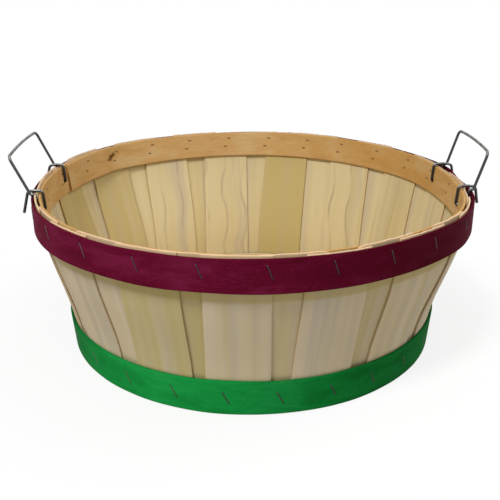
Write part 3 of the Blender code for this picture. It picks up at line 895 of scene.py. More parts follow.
def veneer_material(name, half_width, colours):
    """Thin peeled wood with its grain up the stave, brown at the cut edges with painted seam shade, and
    painted shade under the top hoop and on the cut tops at the back.
    """
    material, tree, shader = new_material(name)
    point, split = strip_point(tree)
    height = split.outputs["Y"]
    inside = facing_in(tree)
    outside = minus(tree, 1.0, inside)
    wavy = wavy_grain(tree, point, split)
    fine = streaks(tree, point, "fine grain")
    pores = streaks(tree, point, "pores")
    pale = blend(tree, inside, colours.pale_veneer, colours.inner_pale)
    tan = blend(tree, inside, colours.tan_veneer, colours.inner_tan)
    bands = times(tree, streaks(tree, point, "heartwood"), HEART_BANDS)
    heart = share_of(tree, plus(tree, read_attribute(tree, "tone"), bands), "heartwood")
    grey = share_of(tree, streaks(tree, wavy, "grey bands"), "grey bands")
    grey = times(tree, grey, share_of(tree, heart, "grey on heartwood"))
    cut_top = share_of(tree, facing_up(tree), "cut top")
    base = blend(tree, heart, pale, tan)
    for factor, colour_over in (
            (grey, colours.grey_veneer),
            (mineral_streaks(tree, wavy), colours.mineral),
            (share_of(tree, fine, "fine grain"), tan),
            (share_of(tree, pores, "pores"), colours.grey_veneer),
            # Cut edges: brown wood with painted seam shade
            (edge_brown_and_seam_shade(tree, point, split, half_width), colours.cut_edge_and_seam_shade),
            # Painted shadow under the top hoop, on outside faces only
            (times(tree, share_of(tree, height, "painted hoop shadow"), outside), colours.painted_hoop_shadow),
            (share_of(tree, height, "torn end"), colours.torn_end),
            (cut_top, colours.torn_end),
            # Painted shade on the cut tops, by the stave's place round the rim
            (times(tree, cut_top, read_attribute(tree, "dark_mark")), colours.rim_painted_shade)):
        base = blend(tree, factor, base, colour_over)
    tree.links.new(base, shader.inputs["Base Color"])
    tree.links.new(share_of(tree, fine, "veneer roughness"), shader.inputs["Roughness"])
    shader.inputs["Specular IOR Level"].default_value = VENEER_SPECULAR
    relief = plus(tree, fine, times(tree, pores, PORE_RELIEF))
    add_relief(tree, shader, relief, "veneer")
    return material


def rod_distance(tree, across, up, centre, tilt, half_long):
    """Distance to a straight mark on a hoop, from places beside and above a staple's middle."""
    across = minus(tree, across, centre[0])
    up = minus(tree, up, centre[1])
    along = minus(tree, times(tree, up, math.cos(tilt)), times(tree, across, math.sin(tilt)))
    aside = plus(tree, times(tree, across, math.cos(tilt)), times(tree, up, math.sin(tilt)))
    past = calculate(tree, "MAXIMUM", minus(tree, size_of(tree, along), half_long), 0.0)
    return calculate(tree, "SQRT", plus(tree, times(tree, past, past), times(tree, aside, aside)))


def hoop_material(name, tones, size, staple_level, marks, mottle):
    """Hoop strip with its grain round the hoop, mottled, with marks where the staples are.

    The tones are base, light and dark; each mark is (centre, tilt, half length, reach, colour).
    """
    material, tree, shader = new_material(name)
    half_run, half_height = size[0] / 2, size[1] / 2
    base, light, dark = tones
    point, split = strip_point(tree)
    cloud = streaks(tree, point, "hoop clouds")
    grain = streaks(tree, point, "hoop grain")
    fibre = streaks(tree, point, "hoop fibre")
    for pattern, share_name, tone in (
            (cloud, "light clouds", light), (cloud, "dark clouds", dark),
            (grain, "dark grain", dark), (fibre, "light fibre", light)):
        base = blend(tree, share_of(tree, pattern, share_name, mottle), base, tone)
    # Painted shade and uneven dye, by the hoop's angle
    dye_and_shade = times(tree, read_attribute(tree, "depth"), share_of(tree, cloud, "dye and painted shade"))
    base = blend(tree, dye_and_shade, base, dark)
    # Dark bands along both edges: wear and dye, with painted shade where the edges meet the staves
    off_middle = size_of(tree, minus(tree, split.outputs["Y"], half_height))
    worn_and_shaded = plus(tree, off_middle, times(tree, cloud, HOOP_WEAR_AND_SHADE))
    worn_and_shaded = remap(tree, worn_and_shaded, half_height, half_height + HOOP_WEAR_AND_SHADE_FADE, 0.0, HOOP_WEAR_AND_SHADE_SHARE)
    base = blend(tree, worn_and_shaded, base, dark)
    ends = size_of(tree, minus(tree, split.outputs["X"], half_run))
    ends = remap(tree, ends, half_run - HOOP_END_FADE, half_run, 0.0, HOOP_END_SHARE)
    base = blend(tree, ends, base, dark)
    up = minus(tree, split.outputs["Y"], staple_level)
    beside, near = read_attribute(tree, "beside"), read_attribute(tree, "near")
    # Staple marks: painted dent shade with rust, and bruises at the clinched ends
    for centre, tilt, half_long, reach, dark_mark in marks:
        distance = rod_distance(tree, beside, up, centre, tilt, half_long)
        mark = remap(tree, distance, reach, reach * MARK_CORE, 0.0, MARK_SHARE)
        base = blend(tree, times(tree, mark, near), base, dark_mark)
    tree.links.new(share_of(tree, grain, "hoop roughness"), shader.inputs["Roughness"])
    shader.inputs["Specular IOR Level"].default_value = HOOP_SPECULAR
    relief = plus(tree, grain, times(tree, fibre, FIBRE_RELIEF))
    add_relief(tree, shader, relief, "hoop")
    return material, base


def set_colour(material, base):
    """Use a colour as the material's base."""
    tree = material.node_tree
    tree.links.new(base, tree.nodes["Principled BSDF"].inputs["Base Color"])


def add_knot(material, base, place, colours):
    """Dark knot with a tail in the grain, at a place on the strip's pattern."""
    tree = material.node_tree
    point, split = strip_point(tree)
    wobble = minus(tree, streaks(tree, point, "knot wobble"), 0.5)
    across = minus(tree, split.outputs["X"], place[0])
    up = minus(tree, split.outputs["Y"], place[1])
    up = plus(tree, up, times(tree, wobble, KNOT_WOBBLE))
    for name, finish, centre, tilt, half_long in KNOT_MARKS:
        distance = rod_distance(tree, across, up, centre, tilt, half_long)
        base = blend(tree, share_of(tree, distance, name), base, getattr(colours, finish))
    return base


def board_material(name, colours):
    """Sawn board with its grain along its length."""
    material, tree, shader = new_material(name)
    point, _ = strip_point(tree)
    bands = streaks(tree, point, "board bands")
    grain = streaks(tree, point, "board grain")
    saw = streaks(tree, point, "saw marks")
    base = blend(
        tree, share_of(tree, bands, "board bands"), colours.floor_pale, colours.floor_dark)
    base = blend(tree, share_of(tree, grain, "board grain"), base, colours.floor_dark)
    tree.links.new(base, shader.inputs["Base Color"])
    tree.links.new(share_of(tree, grain, "board roughness"), shader.inputs["Roughness"])
    relief = plus(tree, grain, times(tree, saw, SAW_RELIEF))
    add_relief(tree, shader, relief, "board")
    return material


def wire_material(name, bright, dark, roughness):
    """Dull drawn wire, tarnished dark, with a painted highlight on its upper side and painted shade on
    its lower side.
    """
    material, tree, shader = new_material(name)
    place = add_node(tree, "ShaderNodeTexCoord").outputs["Object"]
    patches, pits = (
        add_node(tree, "ShaderNodeTexNoise", {"Vector": place, "Scale": scale, "Detail": detail})
        for scale, detail in (WIRE_PATCHES, WIRE_PITS))
    tarnish = share_of(tree, patches.outputs["Fac"], "tarnish")
    # Painted highlight on faces turned up, painted shade on faces turned down
    painted_highlight = blend(tree, share_of(tree, facing_up(tree), "painted wire highlight"), dark, bright)
    base = blend(tree, tarnish, painted_highlight, dark)
    tree.links.new(base, shader.inputs["Base Color"])
    rough = plus(tree, share_of(tree, patches.outputs["Fac"], "wire roughness"), roughness)
    tree.links.new(rough, shader.inputs["Roughness"])
    shader.inputs["Metallic"].default_value = WIRE_METALLIC
    add_relief(tree, shader, pits.outputs["Fac"], "wire")
    return material


def stave_places(layer):
    """Line and height of every stave of a layer, as (node, (foot angle, turn per metre), top)."""
    places = []
    for name in sorted(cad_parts):
        if not name.startswith(layer):
            continue
        points = [vertex.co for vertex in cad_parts[name].data.vertices]
        top = max(point.z for point in points)
        foot_angle, foot = middle_angle(points, min(point.z for point in points))
        high_angle, high = middle_angle(points, top * UNCUT_SHARE)
        lean = math.remainder(high_angle - foot_angle, 2 * math.pi) / (high - foot)
        places.append((name, (foot_angle - lean * foot, lean), top))
    return places


def middle_angle(points, height):
    """Angle of the middle of the points nearest to a height, with their height."""
    level = min((abs(point.z - height), point.z) for point in points)[1]
    ring = [point for point in points if abs(point.z - level) < SAME_HEIGHT]
    middle = sum(ring, Vector()) / len(ring)
    facing = math.atan2(middle.y, middle.x)
    turns = [math.remainder(math.atan2(point.y, point.x) - facing, 2 * math.pi) for point in ring]
    return facing + (min(turns) + max(turns)) / 2, level


def nearest(table, angle, reach, otherwise):
    """Value of the entry nearest to an angle, within reach."""
    for degrees, value in table:
        if angle_between(angle, math.radians(degrees)) < reach:
            return value
    return otherwise


def build_stave(scene, wall, name, line, top, offset, curl, chance):
    """One strip of veneer bent to the wall, with ragged top and edges a little out of true."""
    walls = scene.basket_wall
    half = walls.stave_width / 2
    number = chance.uniform(*PIECE_NUMBERS)
    chips = [chance.choice(CORNER_CHIPS) for _ in range(2)]
    slant = chance.uniform(-TOP_SLANT, TOP_SLANT)

    def place(across, along):
        side = 2 * across - 1
        rag = noise.noise(Vector((side * TOP_RAGS, number, 0.5))) * walls.top_raggedness
        chip = chips[side > 0] * max(abs(side) - CHIP_START, 0) / CHIP_REACH
        end = top - walls.top_raggedness + rag + slant * side - chip
        height = walls.foot_clearance + (end - walls.foot_clearance) * along
        wander = noise.noise(Vector((number, along * EDGE_WANDERS, side))) * walls.edge_wander
        middle = line[0] + line[1] * height
        angle_here = middle + side * (half + wander * abs(side)) / (wall.radius(height) - offset)
        lift = curl * side ** CURL_SHARPNESS * wall.free_span(height)
        return polar(wall.radius(height, angle_here) - offset + lift, angle_here, height)

    def pattern(across, along):
        return (2 * across - 1) * half, along * top

    stave = add_strip(name, STAVE_FACES, place, pattern)
    thicken(stave, walls.stave_thickness, walls.stave_edge_round)
    return stave


def slot_cutter(scene, name, plan, start, end, headroom=0.0):
    """Room that one straight run of a handle's wire sweeps as the handle swings in."""
    wires = scene.basket_wires
    hinge = plan["hinge"]
    reach = wires.diameter / 2 + wires.clearance
    to_basket = Matrix.Rotation(plan["facing"], 4, "Z")
    offsets = [
        Vector((x * reach, y * reach, z))
        for x in (-1, 1) for y in (-1, 1) for z in (-reach, reach + headroom)
    ]
    points = bmesh.new()
    for swing in (0.0, wires.swing / 2, wires.swing):
        turned = Matrix.Rotation(-swing, 4, "Y")
        for point in (start, end):
            placed = turned @ (point - hinge) + hinge
            for offset in offsets:
                points.verts.new(to_basket @ (placed + offset))
    result = bmesh.ops.convex_hull(points, input=points.verts)
    loose = [item for item in result["geom_interior"] if isinstance(item, bmesh.types.BMVert)]
    bmesh.ops.delete(points, geom=loose, context="VERTS")
    bmesh.ops.recalc_face_normals(points, faces=points.faces)
    mesh = bpy.data.meshes.new(name)
    points.to_mesh(mesh)
    points.free()
    cutter = bpy.data.objects.new(name, mesh)
    bpy.context.collection.objects.link(cutter)
    return cutter


def handle_cutters(scene, wall):
    """Each leg's angle with its wall hole and the cuts that only the staves get."""
    wires = scene.basket_wires
    arch = wall.height + wires.arch_rise
    cutters = []
    for handle in (LEFT_HANDLE, RIGHT_HANDLE):
        plan = plan_handle(scene, wall, handle)
        hinge = plan["hinge"]
        for leg in plan["legs"]:
            low = Vector((hinge.x, leg["leg_across"], hinge.z))
            high = Vector((plan["out"], leg["leg_across"], arch))
            inner_bend = Vector((leg["inside_low"], leg["hook_across"], hinge.z))
            inside = inner_bend + (inner_bend - low).normalized() * wires.diameter
            over_in = Vector((leg["inside_high"], leg["hook_across"], arch))
            over_out = Vector((leg["outside_high"], leg["hook_across"], arch))
            hole = slot_cutter(scene, "wall_hole", plan, low, inside)
            groove = slot_cutter(scene, "leg_groove", plan, low, high)
            notch = slot_cutter(scene, "rim_notch", plan, over_in, over_out, wires.notch_headroom)
            cutters.append((leg["angle"], hole, (groove, notch)))
    return cutters


def cut_out(piece, cutter):
    """Take the cutter's volume out of the piece."""
    apply_modifier(piece, "BOOLEAN", operation="DIFFERENCE", solver="EXACT", object=cutter)


def clear_cutters(cutters):
    """Remove the cutters once they have been used."""
    for _, hole, others in cutters:
        for cutter in (hole, *others):
            bpy.data.objects.remove(cutter)


class BASKET_OT_outer_staves(bpy.types.Operator):
    """Model the outer layer of staves"""

    bl_idname = "basket.outer_staves"
    bl_label = "Outer staves"

    def execute(self, context):
        scene = context.scene
        colours, half = scene.basket_colours, scene.basket_wall.stave_width / 2
        material = veneer_material("outer veneer", half, colours)
        build_layer(scene, "outer_stave", 0.0, OUTSIDE, material, "outer_veneer",
                    OUTER_STAVE_TONES, ())
        return {"FINISHED"}


class BASKET_OT_inner_staves(bpy.types.Operator):
    """Model the inner layer of staves"""

    bl_idname = "basket.inner_staves"
    bl_label = "Inner staves"

    def execute(self, context):
        scene = context.scene
        colours, half = scene.basket_colours, scene.basket_wall.stave_width / 2
        material = veneer_material("inner veneer", half, colours)
        build_layer(scene, "inner_stave", TubWall(scene).inner_layer, INSIDE, material,
                    "inner_veneer", INNER_STAVE_TONES, INNER_STAVE_STREAKS)
        return {"FINISHED"}


def build_layer(scene, layer, offset, curl_side, material, slot, tones, streaked):
    """All staves of one layer, each in place of its node."""
    wall = TubWall(scene)
    walls = scene.basket_wall
    chance = random.Random(f"{layer}{SEED}")
    places = stave_places(layer)
    half_pitch = math.pi / len(places)
    reach_angle = walls.stave_width / wall.radius(wall.height)
    cutters = handle_cutters(scene, wall)
    for node, line, top in places:
        name = f"{node}_veneer"
        curl = curl_side * walls.edge_curl
        angle = line[0] + line[1] * top
        stave = build_stave(scene, wall, name, line, top, offset, curl, chance)
        for leg_angle, hole, others in cutters:
            if angle_between(angle, leg_angle) < reach_angle:
                for cutter in (hole, *others):
                    cut_out(stave, cutter)
        count = len(stave.data.vertices)
        tone = nearest(tones, angle, half_pitch / 2, chance.uniform(*OTHER_TONES))
        streak = nearest(streaked, angle, half_pitch / 2, chance.uniform(*OTHER_STREAKS))
        number = chance.uniform(*PIECE_NUMBERS)
        # How much painted shade the stave's cut top gets
        dark_mark = swell(angle, TOP_PAINTED_SHADE)
        for key, value in (
                ("number", number), ("tone", tone), ("streaks", streak), ("dark_mark", dark_mark)):
            set_attribute(stave, key, [value] * count)
        finish_piece(stave, material, slot, "basket", node)
    clear_cutters(cutters)


def outer_top_shape(scene, wall):
    """Hoop round the outer staves at the rim, held off them where the handle legs go down."""
    walls, hoops = scene.basket_wall, scene.basket_hoops
    plans = [plan_handle(scene, wall, handle) for handle in (LEFT_HANDLE, RIGHT_HANDLE)]
    leg_waves = [leg["wave"] for plan in plans for leg in plan["legs"]]
    return HoopShape(
        hoops, (wall.top_hoop_foot - hoops.outer_drop, walls.rim_radius),
        (wall.height - hoops.outer_drop, walls.rim_radius),
        OUTER_LAP_ANGLE, OUTSIDE, (*RIM_WAVES, *leg_waves))


def inner_top_shape(scene, wall):
    """Hoop inside the inner staves at the rim, lapped short of a handle leg."""
    hoops = scene.basket_hoops
    low_radius = wall.radius(wall.top_hoop_foot) - wall.inner_hoop
    high_radius = wall.radius(wall.height) - wall.inner_hoop
    leg = plan_handle(scene, wall, LEFT_HANDLE)["legs"][0]
    lap_angle = leg["angle"] - (hoops.lap + INNER_LAP_LEG_GAP) / high_radius
    return HoopShape(
        hoops, (wall.top_hoop_foot, low_radius), (wall.height, high_radius),
        lap_angle, INSIDE, RIM_WAVES)


def bottom_shape(scene):
    """Hoop round the staves at the foot."""
    walls, hoops = scene.basket_wall, scene.basket_hoops
    return HoopShape(
        hoops, (0.0, walls.foot_radius),
        (hoops.bottom_width, walls.foot_radius + hoops.bottom_flare), BOTTOM_LAP_ANGLE, OUTSIDE)


def build_hoop(scene, name, shape):
    """Strip bent to the hoop's shape, its edges a little out of true."""
    hoops = scene.basket_hoops
    number = HOOP_NUMBERS[name]
    round_waves, up_waves = HOOP_WANDERS
    total = 2 * math.pi + shape.lap
    low, high = shape.low[0], shape.high[0]

    def place(across, along):
        travel = total * across
        height = low + (high - low) * along
        radius = shape.face(travel, height)
        angle = shape.lap_angle + travel
        wander = noise.noise(Vector((travel * round_waves, along * up_waves, number)))
        wander *= hoops.edge_wander
        sag = wander * (2 * along - 1) - hoops.edge_wander / 2 * (2 * along - 1)
        return polar(radius, angle, height + sag)

    def pattern(across, along):
        return total * across * shape.reach, (high - low) * along

    hoop = add_strip(name, HOOP_FACES, place, pattern)
    thicken(hoop, hoops.thickness, hoops.edge_round)
    set_attribute(hoop, "number", [number] * len(hoop.data.vertices))
    return hoop


def staple_angles(seen, count):
    """Angles of a row of staples: the ones seen, then even steps back to the first."""
    angles = [math.radians(degrees) for degrees in seen]
    unseen = count - len(angles)
    left = angles[0] + 2 * math.pi - angles[-1]
    return angles + [angles[-1] + left * step / (unseen + 1) for step in range(1, unseen + 1)]


def mark_hoop(hoop, angles, reach, dye_and_shade_waves):
    """Store how far the colour is darkened (uneven dye and wood, with painted shade), how far aside the
    nearest staple is, and if it is near.
    """
    depth, beside, near = [], [], []
    for vertex in hoop.data.vertices:
        angle = math.atan2(vertex.co.y, vertex.co.x)
        off = min((math.remainder(angle - other, 2 * math.pi) for other in angles), key=abs)
        depth.append(swell(angle, dye_and_shade_waves))
        beside.append(off * reach)
        near.append(float(abs(off * reach) < STAPLE_REACH))
    set_attribute(hoop, "depth", depth)
    set_attribute(hoop, "beside", beside)
    set_attribute(hoop, "near", near)


def staple_dent_shade(wires, tilt, colours):
    """Mark of painted shade and rust beside a staple's crown, standing in for a dent that is not
    modelled.
    """
    return (0.0, 0.0), tilt, wires.staple_crown / 2, wires.groove, colours.rust_and_dent_shade


def strip_size(shape):
    """Length and height of a hoop's strip as its pattern has them."""
    return (2 * math.pi + shape.lap) * shape.reach, shape.high[0] - shape.low[0]


class BASKET_OT_outer_top_hoop(bpy.types.Operator):
    """Model the maroon hoop round the rim"""

    bl_idname = "basket.outer_top_hoop"
    bl_label = "Outer top hoop"

    def execute(self, context):
        scene = context.scene
        wires, colours = scene.basket_wires, scene.basket_colours
        shape = outer_top_shape(scene, TubWall(scene))
        hoop = build_hoop(scene, "maroon_hoop", shape)
        mark_hoop(hoop, staple_angles(TOP_STAPLES, wires.staple_count), shape.reach, MAROON_DYE_AND_SHADE)
        tones = (colours.maroon, colours.maroon_light, colours.maroon_dark)
        level = wires.top_staple_height - shape.low[0]
        groove = staple_dent_shade(wires, wires.top_staple_tilt, colours)
        material, base = hoop_material(
            "maroon dyed wood", tones, strip_size(shape), level, (groove,), MAROON_MOTTLE)
        set_colour(material, base)
        finish_piece(hoop, material, "maroon_dyed_hoop", "basket", "outer_top_hoop")
        return {"FINISHED"}


class BASKET_OT_inner_top_hoop(bpy.types.Operator):
    """Model the bare hoop inside the rim"""

    bl_idname = "basket.inner_top_hoop"
    bl_label = "Inner top hoop"

    def execute(self, context):
        scene = context.scene
        wires, colours = scene.basket_wires, scene.basket_colours
        wall = TubWall(scene)
        shape = inner_top_shape(scene, wall)
        hoop = build_hoop(scene, "inner_hoop", shape)
        cutters = handle_cutters(scene, wall)
        for _, hole, _ in cutters:
            cut_out(hoop, hole)
        clear_cutters(cutters)
        mark_hoop(hoop, staple_angles(TOP_STAPLES, wires.staple_count), shape.reach, TAN_WOOD_AND_SHADE)
        tones = (colours.tan_hoop, colours.inner_pale, colours.tan_hoop_dark)
        level = wires.top_staple_height - shape.low[0]
        marks = []
        for end in (-1, 1):
            aside, up = staple_end(wires, end, wires.top_staple_tilt)
            centre = (aside + wires.clinch_length / 2, up * wires.clinch_pinch)
            marks.append(
                (centre, math.pi / 2, wires.clinch_length / 2, CLINCH_MARK, colours.clinch))
        material, base = hoop_material(
            "bare hoop wood", tones, strip_size(shape), level, marks, TAN_MOTTLE)
        knot_travel = (KNOT_ANGLE - shape.lap_angle) % (2 * math.pi)
        knot = (knot_travel * shape.reach, KNOT_HEIGHT - shape.low[0])
        set_colour(material, add_knot(material, base, knot, colours))
        finish_piece(hoop, material, "tan_hoop", "basket", "inner_top_hoop")
        return {"FINISHED"}


class BASKET_OT_bottom_hoop(bpy.types.Operator):
    """Model the green hoop round the foot"""

    bl_idname = "basket.bottom_hoop"
    bl_label = "Bottom hoop"

    def execute(self, context):
        scene = context.scene
        wires, colours = scene.basket_wires, scene.basket_colours
        shape = bottom_shape(scene)
        hoop = build_hoop(scene, "green_hoop", shape)
        mark_hoop(hoop, staple_angles(BOTTOM_STAPLES, wires.staple_count), shape.reach, GREEN_DYE_AND_SHADE)
        tones = (colours.green, colours.green_light, colours.green_dark)
        level = (shape.high[0] - shape.low[0]) / 2
        groove = staple_dent_shade(wires, wires.bottom_staple_tilt, colours)
        material, base = hoop_material(
            "green dyed wood", tones, strip_size(shape), level, (groove,), GREEN_MOTTLE)
        set_colour(material, base)
        finish_piece(hoop, material, "green_dyed_hoop", "basket", "outer_bottom_hoop")
        return {"FINISHED"}


class BASKET_OT_floor_boards(bpy.types.Operator):
    """Model the boards of the floor"""

    bl_idname = "basket.floor_boards"
    bl_label = "Floor boards"

    def execute(self, context):
        scene = context.scene
        walls = scene.basket_wall
        wall = TubWall(scene)
        radius = wall.radius(walls.floor_recess) - wall.thickness - walls.floor_clearance
        limit = radius - walls.floor_clearance
        pitch = (2 * limit + walls.board_gap) / walls.board_count
        top = walls.floor_recess + walls.board_thickness
        material = board_material("floor wood", scene.basket_colours)
        for index in range(walls.board_count):
            low = index * pitch - limit
            high = low + pitch - walls.board_gap

            def place(across, along):
                y = low + (high - low) * along
                return Vector(((2 * across - 1) * chord_out(radius, y), y, top))

            def pattern(across, along):
                return (2 * across - 1) * radius, (high - low) * along

            board = add_strip(f"board_{index + 1}", BOARD_FACES, place, pattern)
            thicken(board, walls.board_thickness, walls.board_edge_round)
            number = index * BOARD_NUMBER_STEP
            set_attribute(board, "number", [number] * len(board.data.vertices))
            finish_piece(board, material, "floor_wood", "basket", f"floor_board_{index + 1}")
        return {"FINISHED"}


def build_wire(name, points, radius, roundness):
    """Round wire along points, with closed ends."""
    deselect_all()
    bpy.ops.curve.primitive_bezier_curve_add()
    wire = bpy.context.object
    wire.name = wire.data.name = name
    curve = wire.data
    curve.splines.clear()
    spline = curve.splines.new("POLY")
    spline.points.add(len(points) - 1)
    for target, point in zip(spline.points, points):
        target.co = (*point, 1.0)
    curve.bevel_depth = radius
    curve.bevel_resolution = roundness
    curve.use_fill_caps = True
    bpy.ops.object.convert(target="MESH")
    return bpy.context.object


class BASKET_OT_wire_handles(bpy.types.Operator):
    """Model the two wire handles"""

    bl_idname = "basket.wire_handles"
    bl_label = "Wire handles"

    def execute(self, context):
        scene = context.scene
        wires, colours = scene.basket_wires, scene.basket_colours
        wall = TubWall(scene)
        material = wire_material(
            "dull handle wire", colours.steel, colours.steel_dark, HANDLE_ROUGHNESS)
        for label, handle in (("left", LEFT_HANDLE), ("right", RIGHT_HANDLE)):
            plan = plan_handle(scene, wall, handle)
            path = rounded_path(wire_corners(scene, wall, plan), WIRE_BEND_STEPS)
            away = Vector((math.sin(plan["lean"]), 0.0, math.cos(plan["lean"])))
            middle = len(path) // 2
            first, last = path[middle - 1], path[middle]
            bow = []
            for step in range(1, GRIP_STEPS):
                part = step / GRIP_STEPS
                rise = wires.grip_bow * 4 * part * (1 - part)
                bow.append(first.lerp(last, part) + away * rise)
            to_basket = Matrix.Rotation(plan["facing"], 3, "Z")
            points = [to_basket @ point for point in path[:middle] + bow + path[middle:]]
            wire = build_wire(
                f"{label}_handle_wire", points, wires.diameter / 2, WIRE_ROUNDNESS)
            round_edges(wire, WIRE_END_ROUND)
            finish_piece(
                wire, material, "handle_wire", f"{label}_handle", f"{label}_wire_handle")
        return {"FINISHED"}


def staple_end(wires, end, tilt):
    """Place of a staple's upper (1) or lower (-1) leg from its middle, as (aside, up)."""
    half = wires.staple_crown / 2
    return -end * half * math.sin(tilt), end * half * math.cos(tilt)


def staple_template(wires, grip, tilt):
    """One staple, its crown at depth 0 and its folded ends at the depth of the grip."""
    sunk = grip - wires.staple_diameter * STAPLE_SINK
    corners = []
    for end, proud in STAPLE_ENDS:
        aside, up = staple_end(wires, end, tilt)
        inside_up = up * wires.clinch_pinch
        leg = [
            (Vector((aside + wires.clinch_length, sunk, inside_up)), 0.0),
            (Vector((aside, sunk, inside_up)), wires.staple_diameter),
            (Vector((aside, -proud * wires.staple_diameter, up)), wires.staple_diameter),
        ]
        corners += leg if end == 1 else leg[::-1]
    points = rounded_path(corners, STAPLE_BEND_STEPS)
    template = build_wire("staple", points, wires.staple_diameter / 2, STAPLE_ROUNDNESS)
    shade(template)
    return template


def set_staple(template, angle, height, lean, grip, outside, inside, radius):
    """Copy of the staple wrapped on the wall: its crown outside, its ends inside."""
    staple = template.copy()
    staple.data = template.data.copy()
    bpy.context.collection.objects.link(staple)
    tilt = Matrix.Rotation(lean, 3, "Y")
    for vertex in staple.data.vertices:
        depth = vertex.co.y
        turned = tilt @ vertex.co
        here = angle + turned.x / radius
        level = height + turned.z
        if depth < grip / 2:
            reach = outside(here, level) - depth
        else:
            reach = inside(here, level) - (depth - grip)
        vertex.co = polar(reach, here, level)
    return staple


def join_as(name, parts):
    """Join the parts into one piece."""
    deselect_all()
    for part in parts:
        part.select_set(True)
    bpy.context.view_layer.objects.active = parts[0]
    bpy.ops.object.join()
    joined = bpy.context.object
    joined.name = joined.data.name = name
    return joined


class BASKET_OT_staples(bpy.types.Operator):
    """Set the staples round the top and bottom hoops"""

    bl_idname = "basket.staples"
    bl_label = "Staples"

    def execute(self, context):
        scene = context.scene
        wires, colours, walls = scene.basket_wires, scene.basket_colours, scene.basket_wall
        wall = TubWall(scene)
        chance = random.Random(SEED)
        grip = STAPLE_GRIP * wires.staple_diameter
        material = wire_material(
            "staple wire", colours.staple_steel, colours.staple_dark, STAPLE_ROUGHNESS)
        outer_top, inner_top = outer_top_shape(scene, wall), inner_top_shape(scene, wall)
        bottom = bottom_shape(scene)
        inner_angles = [line[0] for _, line, _ in stave_places("inner_stave")]

        def lining(angle, height):
            reach = wall.radius(height, angle)
            half_angle = walls.stave_width / 2 / reach
            covered = any(angle_between(angle, other) < half_angle for other in inner_angles)
            return reach - (wall.thickness if covered else walls.stave_thickness)

        rows = (
            ("top_staples", TOP_STAPLES, outer_top, inner_top.shown_face,
             wires.top_staple_height, wires.top_staple_tilt),
            ("bottom_staples", BOTTOM_STAPLES, bottom, lining,
             (bottom.low[0] + bottom.high[0]) / 2, wires.bottom_staple_tilt),
        )
        for name, seen, shape, inside, height, tilt in rows:
            template = staple_template(wires, grip, tilt)
            staples = []
            for angle in staple_angles(seen, wires.staple_count):
                level = height + chance.uniform(-STAPLE_HEIGHT_SPREAD, STAPLE_HEIGHT_SPREAD)
                lean = chance.gauss(0, STAPLE_LEAN_SPREAD)
                staples.append(set_staple(
                    template, angle, level, lean, grip, shape.shown_face, inside, shape.reach))
            bpy.data.objects.remove(template)
            row = join_as(name, staples)
            row.data.materials.clear()
            row.data.materials.append(material)
            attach(row, "basket")
        return {"FINISHED"}


def add_area_light(name, location, aim, power, side):
    """Square soft light."""
    bpy.ops.object.light_add(type="AREA", location=location)
    light = bpy.context.object
    light.name = name
    light.data.energy = power
    light.data.size = side
    light.rotation_euler = (aim - Vector(location)).to_track_quat("-Z", "Y").to_euler()


def seen_or_mirrored(tree):
    """1 where the camera or a shiny surface sees the point, 0 where it only gives light."""
    path = add_node(tree, "ShaderNodeLightPath")
    return calculate(tree, "MAXIMUM", path.outputs["Is Camera Ray"], path.outputs["Is Glossy Ray"])


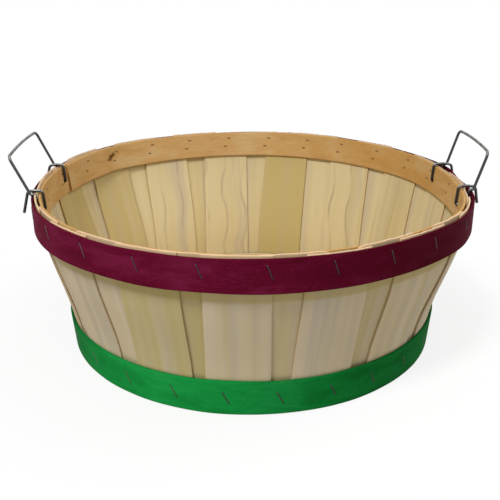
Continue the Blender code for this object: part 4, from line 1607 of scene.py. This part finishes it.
class BASKET_OT_stage(bpy.types.Operator):
    """Set the floor, the light and the camera"""

    bl_idname = "basket.stage"
    bl_label = "Stage"

    def execute(self, context):
        scene = context.scene
        stage = scene.basket_stage
        scene.view_settings.view_transform = "Standard"
        self.add_floor(stage)
        self.add_world(scene, stage)
        aim = Vector((0.0, 0.0, stage.aim_height))
        add_area_light("key light", KEY_PLACE, aim, stage.key_power, stage.key_size)
        add_area_light("fill light", FILL_PLACE, aim, stage.fill_power, stage.fill_size)
        self.add_camera(scene, stage, aim)
        return {"FINISHED"}

    def add_floor(self, stage):
        """Pale floor that turns plain white away from the basket and stays dull under it."""
        deselect_all()
        bpy.ops.mesh.primitive_plane_add(size=stage.floor_size)
        floor = bpy.context.object
        floor.name = "floor"
        material, tree, shader = new_material("pale floor")
        shader.inputs["Roughness"].default_value = FLOOR_ROUGHNESS
        shader.inputs["Specular IOR Level"].default_value = FLOOR_SPECULAR
        glow = add_node(tree, "ShaderNodeEmission", {"Color": WHITE, "Strength": 1.0})
        place = add_node(tree, "ShaderNodeTexCoord").outputs["Object"]
        measure = add_node(tree, "ShaderNodeVectorMath", {0: place}, operation="LENGTH")
        reach = measure.outputs["Value"]
        shown = times(tree, seen_or_mirrored(tree), share_of(tree, reach, "open floor"))
        base = blend(tree, shown, stage.floor_bounce, stage.floor_colour)
        tree.links.new(base, shader.inputs["Base Color"])
        white = remap(tree, reach, stage.glow_start, stage.glow_end, stage.floor_glow, 1.0)
        mixer = add_node(tree, "ShaderNodeMixShader", {
            0: times(tree, shown, white), 1: shader.outputs[0], 2: glow.outputs[0]})
        tree.links.new(mixer.outputs[0], tree.nodes["Material Output"].inputs["Surface"])
        floor.data.materials.append(material)

    def add_world(self, scene, stage):
        """Even light from all sides, in front of a white backdrop."""
        world = bpy.data.worlds.new("soft white studio")
        scene.world = world
        world.use_nodes = True
        tree = world.node_tree
        background = tree.nodes["Background"]
        background.inputs["Color"].default_value = WHITE
        strength = remap(tree, seen_or_mirrored(tree), 0.0, 1.0, stage.world_strength, 1.0)
        tree.links.new(strength, background.inputs["Strength"])

    def add_camera(self, scene, stage, aim):
        """Camera in the photograph's place, turned a little about its own axis."""
        away, tilt = stage.camera_distance, stage.camera_height
        location = aim + Vector((0.0, -away * math.cos(tilt), away * math.sin(tilt)))
        bpy.ops.object.camera_add(location=location)
        camera = bpy.context.object
        camera.data.sensor_width = CAMERA_SENSOR
        camera.data.lens = stage.lens
        look = (aim - location).to_track_quat("-Z", "Y").to_matrix()
        roll = Matrix.Rotation(stage.camera_roll, 3, "Z")
        camera.rotation_euler = (look @ roll).to_euler()
        camera.data.shift_x, camera.data.shift_y = CAMERA_SHIFT
        camera.data.clip_start = CAMERA_NEAR
        scene.camera = camera


class BASKET_PT_sidebar(bpy.types.Panel):
    """Buttons for the pieces of the basket"""

    bl_idname = "BASKET_PT_sidebar"
    bl_label = "Veneer tub basket"
    bl_space_type = "VIEW_3D"
    bl_region_type = "UI"
    bl_category = "Basket"

    def draw(self, context):
        for operator in OPERATORS:
            self.layout.operator(operator.bl_idname)
        for group in SETTINGS:
            box = self.layout.box()
            settings = getattr(context.scene, group)
            for key in settings.bl_rna.properties.keys():
                if key not in ("rna_type", "name"):
                    box.prop(settings, key)


OPERATORS = (
    BASKET_OT_outer_staves,
    BASKET_OT_inner_staves,
    BASKET_OT_outer_top_hoop,
    BASKET_OT_inner_top_hoop,
    BASKET_OT_bottom_hoop,
    BASKET_OT_floor_boards,
    BASKET_OT_wire_handles,
    BASKET_OT_staples,
    BASKET_OT_stage,
)
SETTINGS = {
    "basket_wall": TubWallSizes,
    "basket_hoops": HoopSizes,
    "basket_wires": WireSizes,
    "basket_colours": BasketColours,
    "basket_stage": StageSettings,
}
CLASSES = (*SETTINGS.values(), *OPERATORS, BASKET_PT_sidebar)


def register():
    """Add the classes and their settings."""
    for item in CLASSES:
        bpy.utils.register_class(item)
    for name, group in SETTINGS.items():
        setattr(bpy.types.Scene, name, bpy.props.PointerProperty(type=group))


def unregister():
    """Remove the settings and the classes."""
    for name in SETTINGS:
        delattr(bpy.types.Scene, name)
    for item in reversed(CLASSES):
        bpy.utils.unregister_class(item)


def main():
    """Make every piece in order."""
    register()
    for operator in OPERATORS:
        group, name = operator.bl_idname.split(".")
        getattr(getattr(bpy.ops, group), name)()


if __name__ == "__main__":
    main()
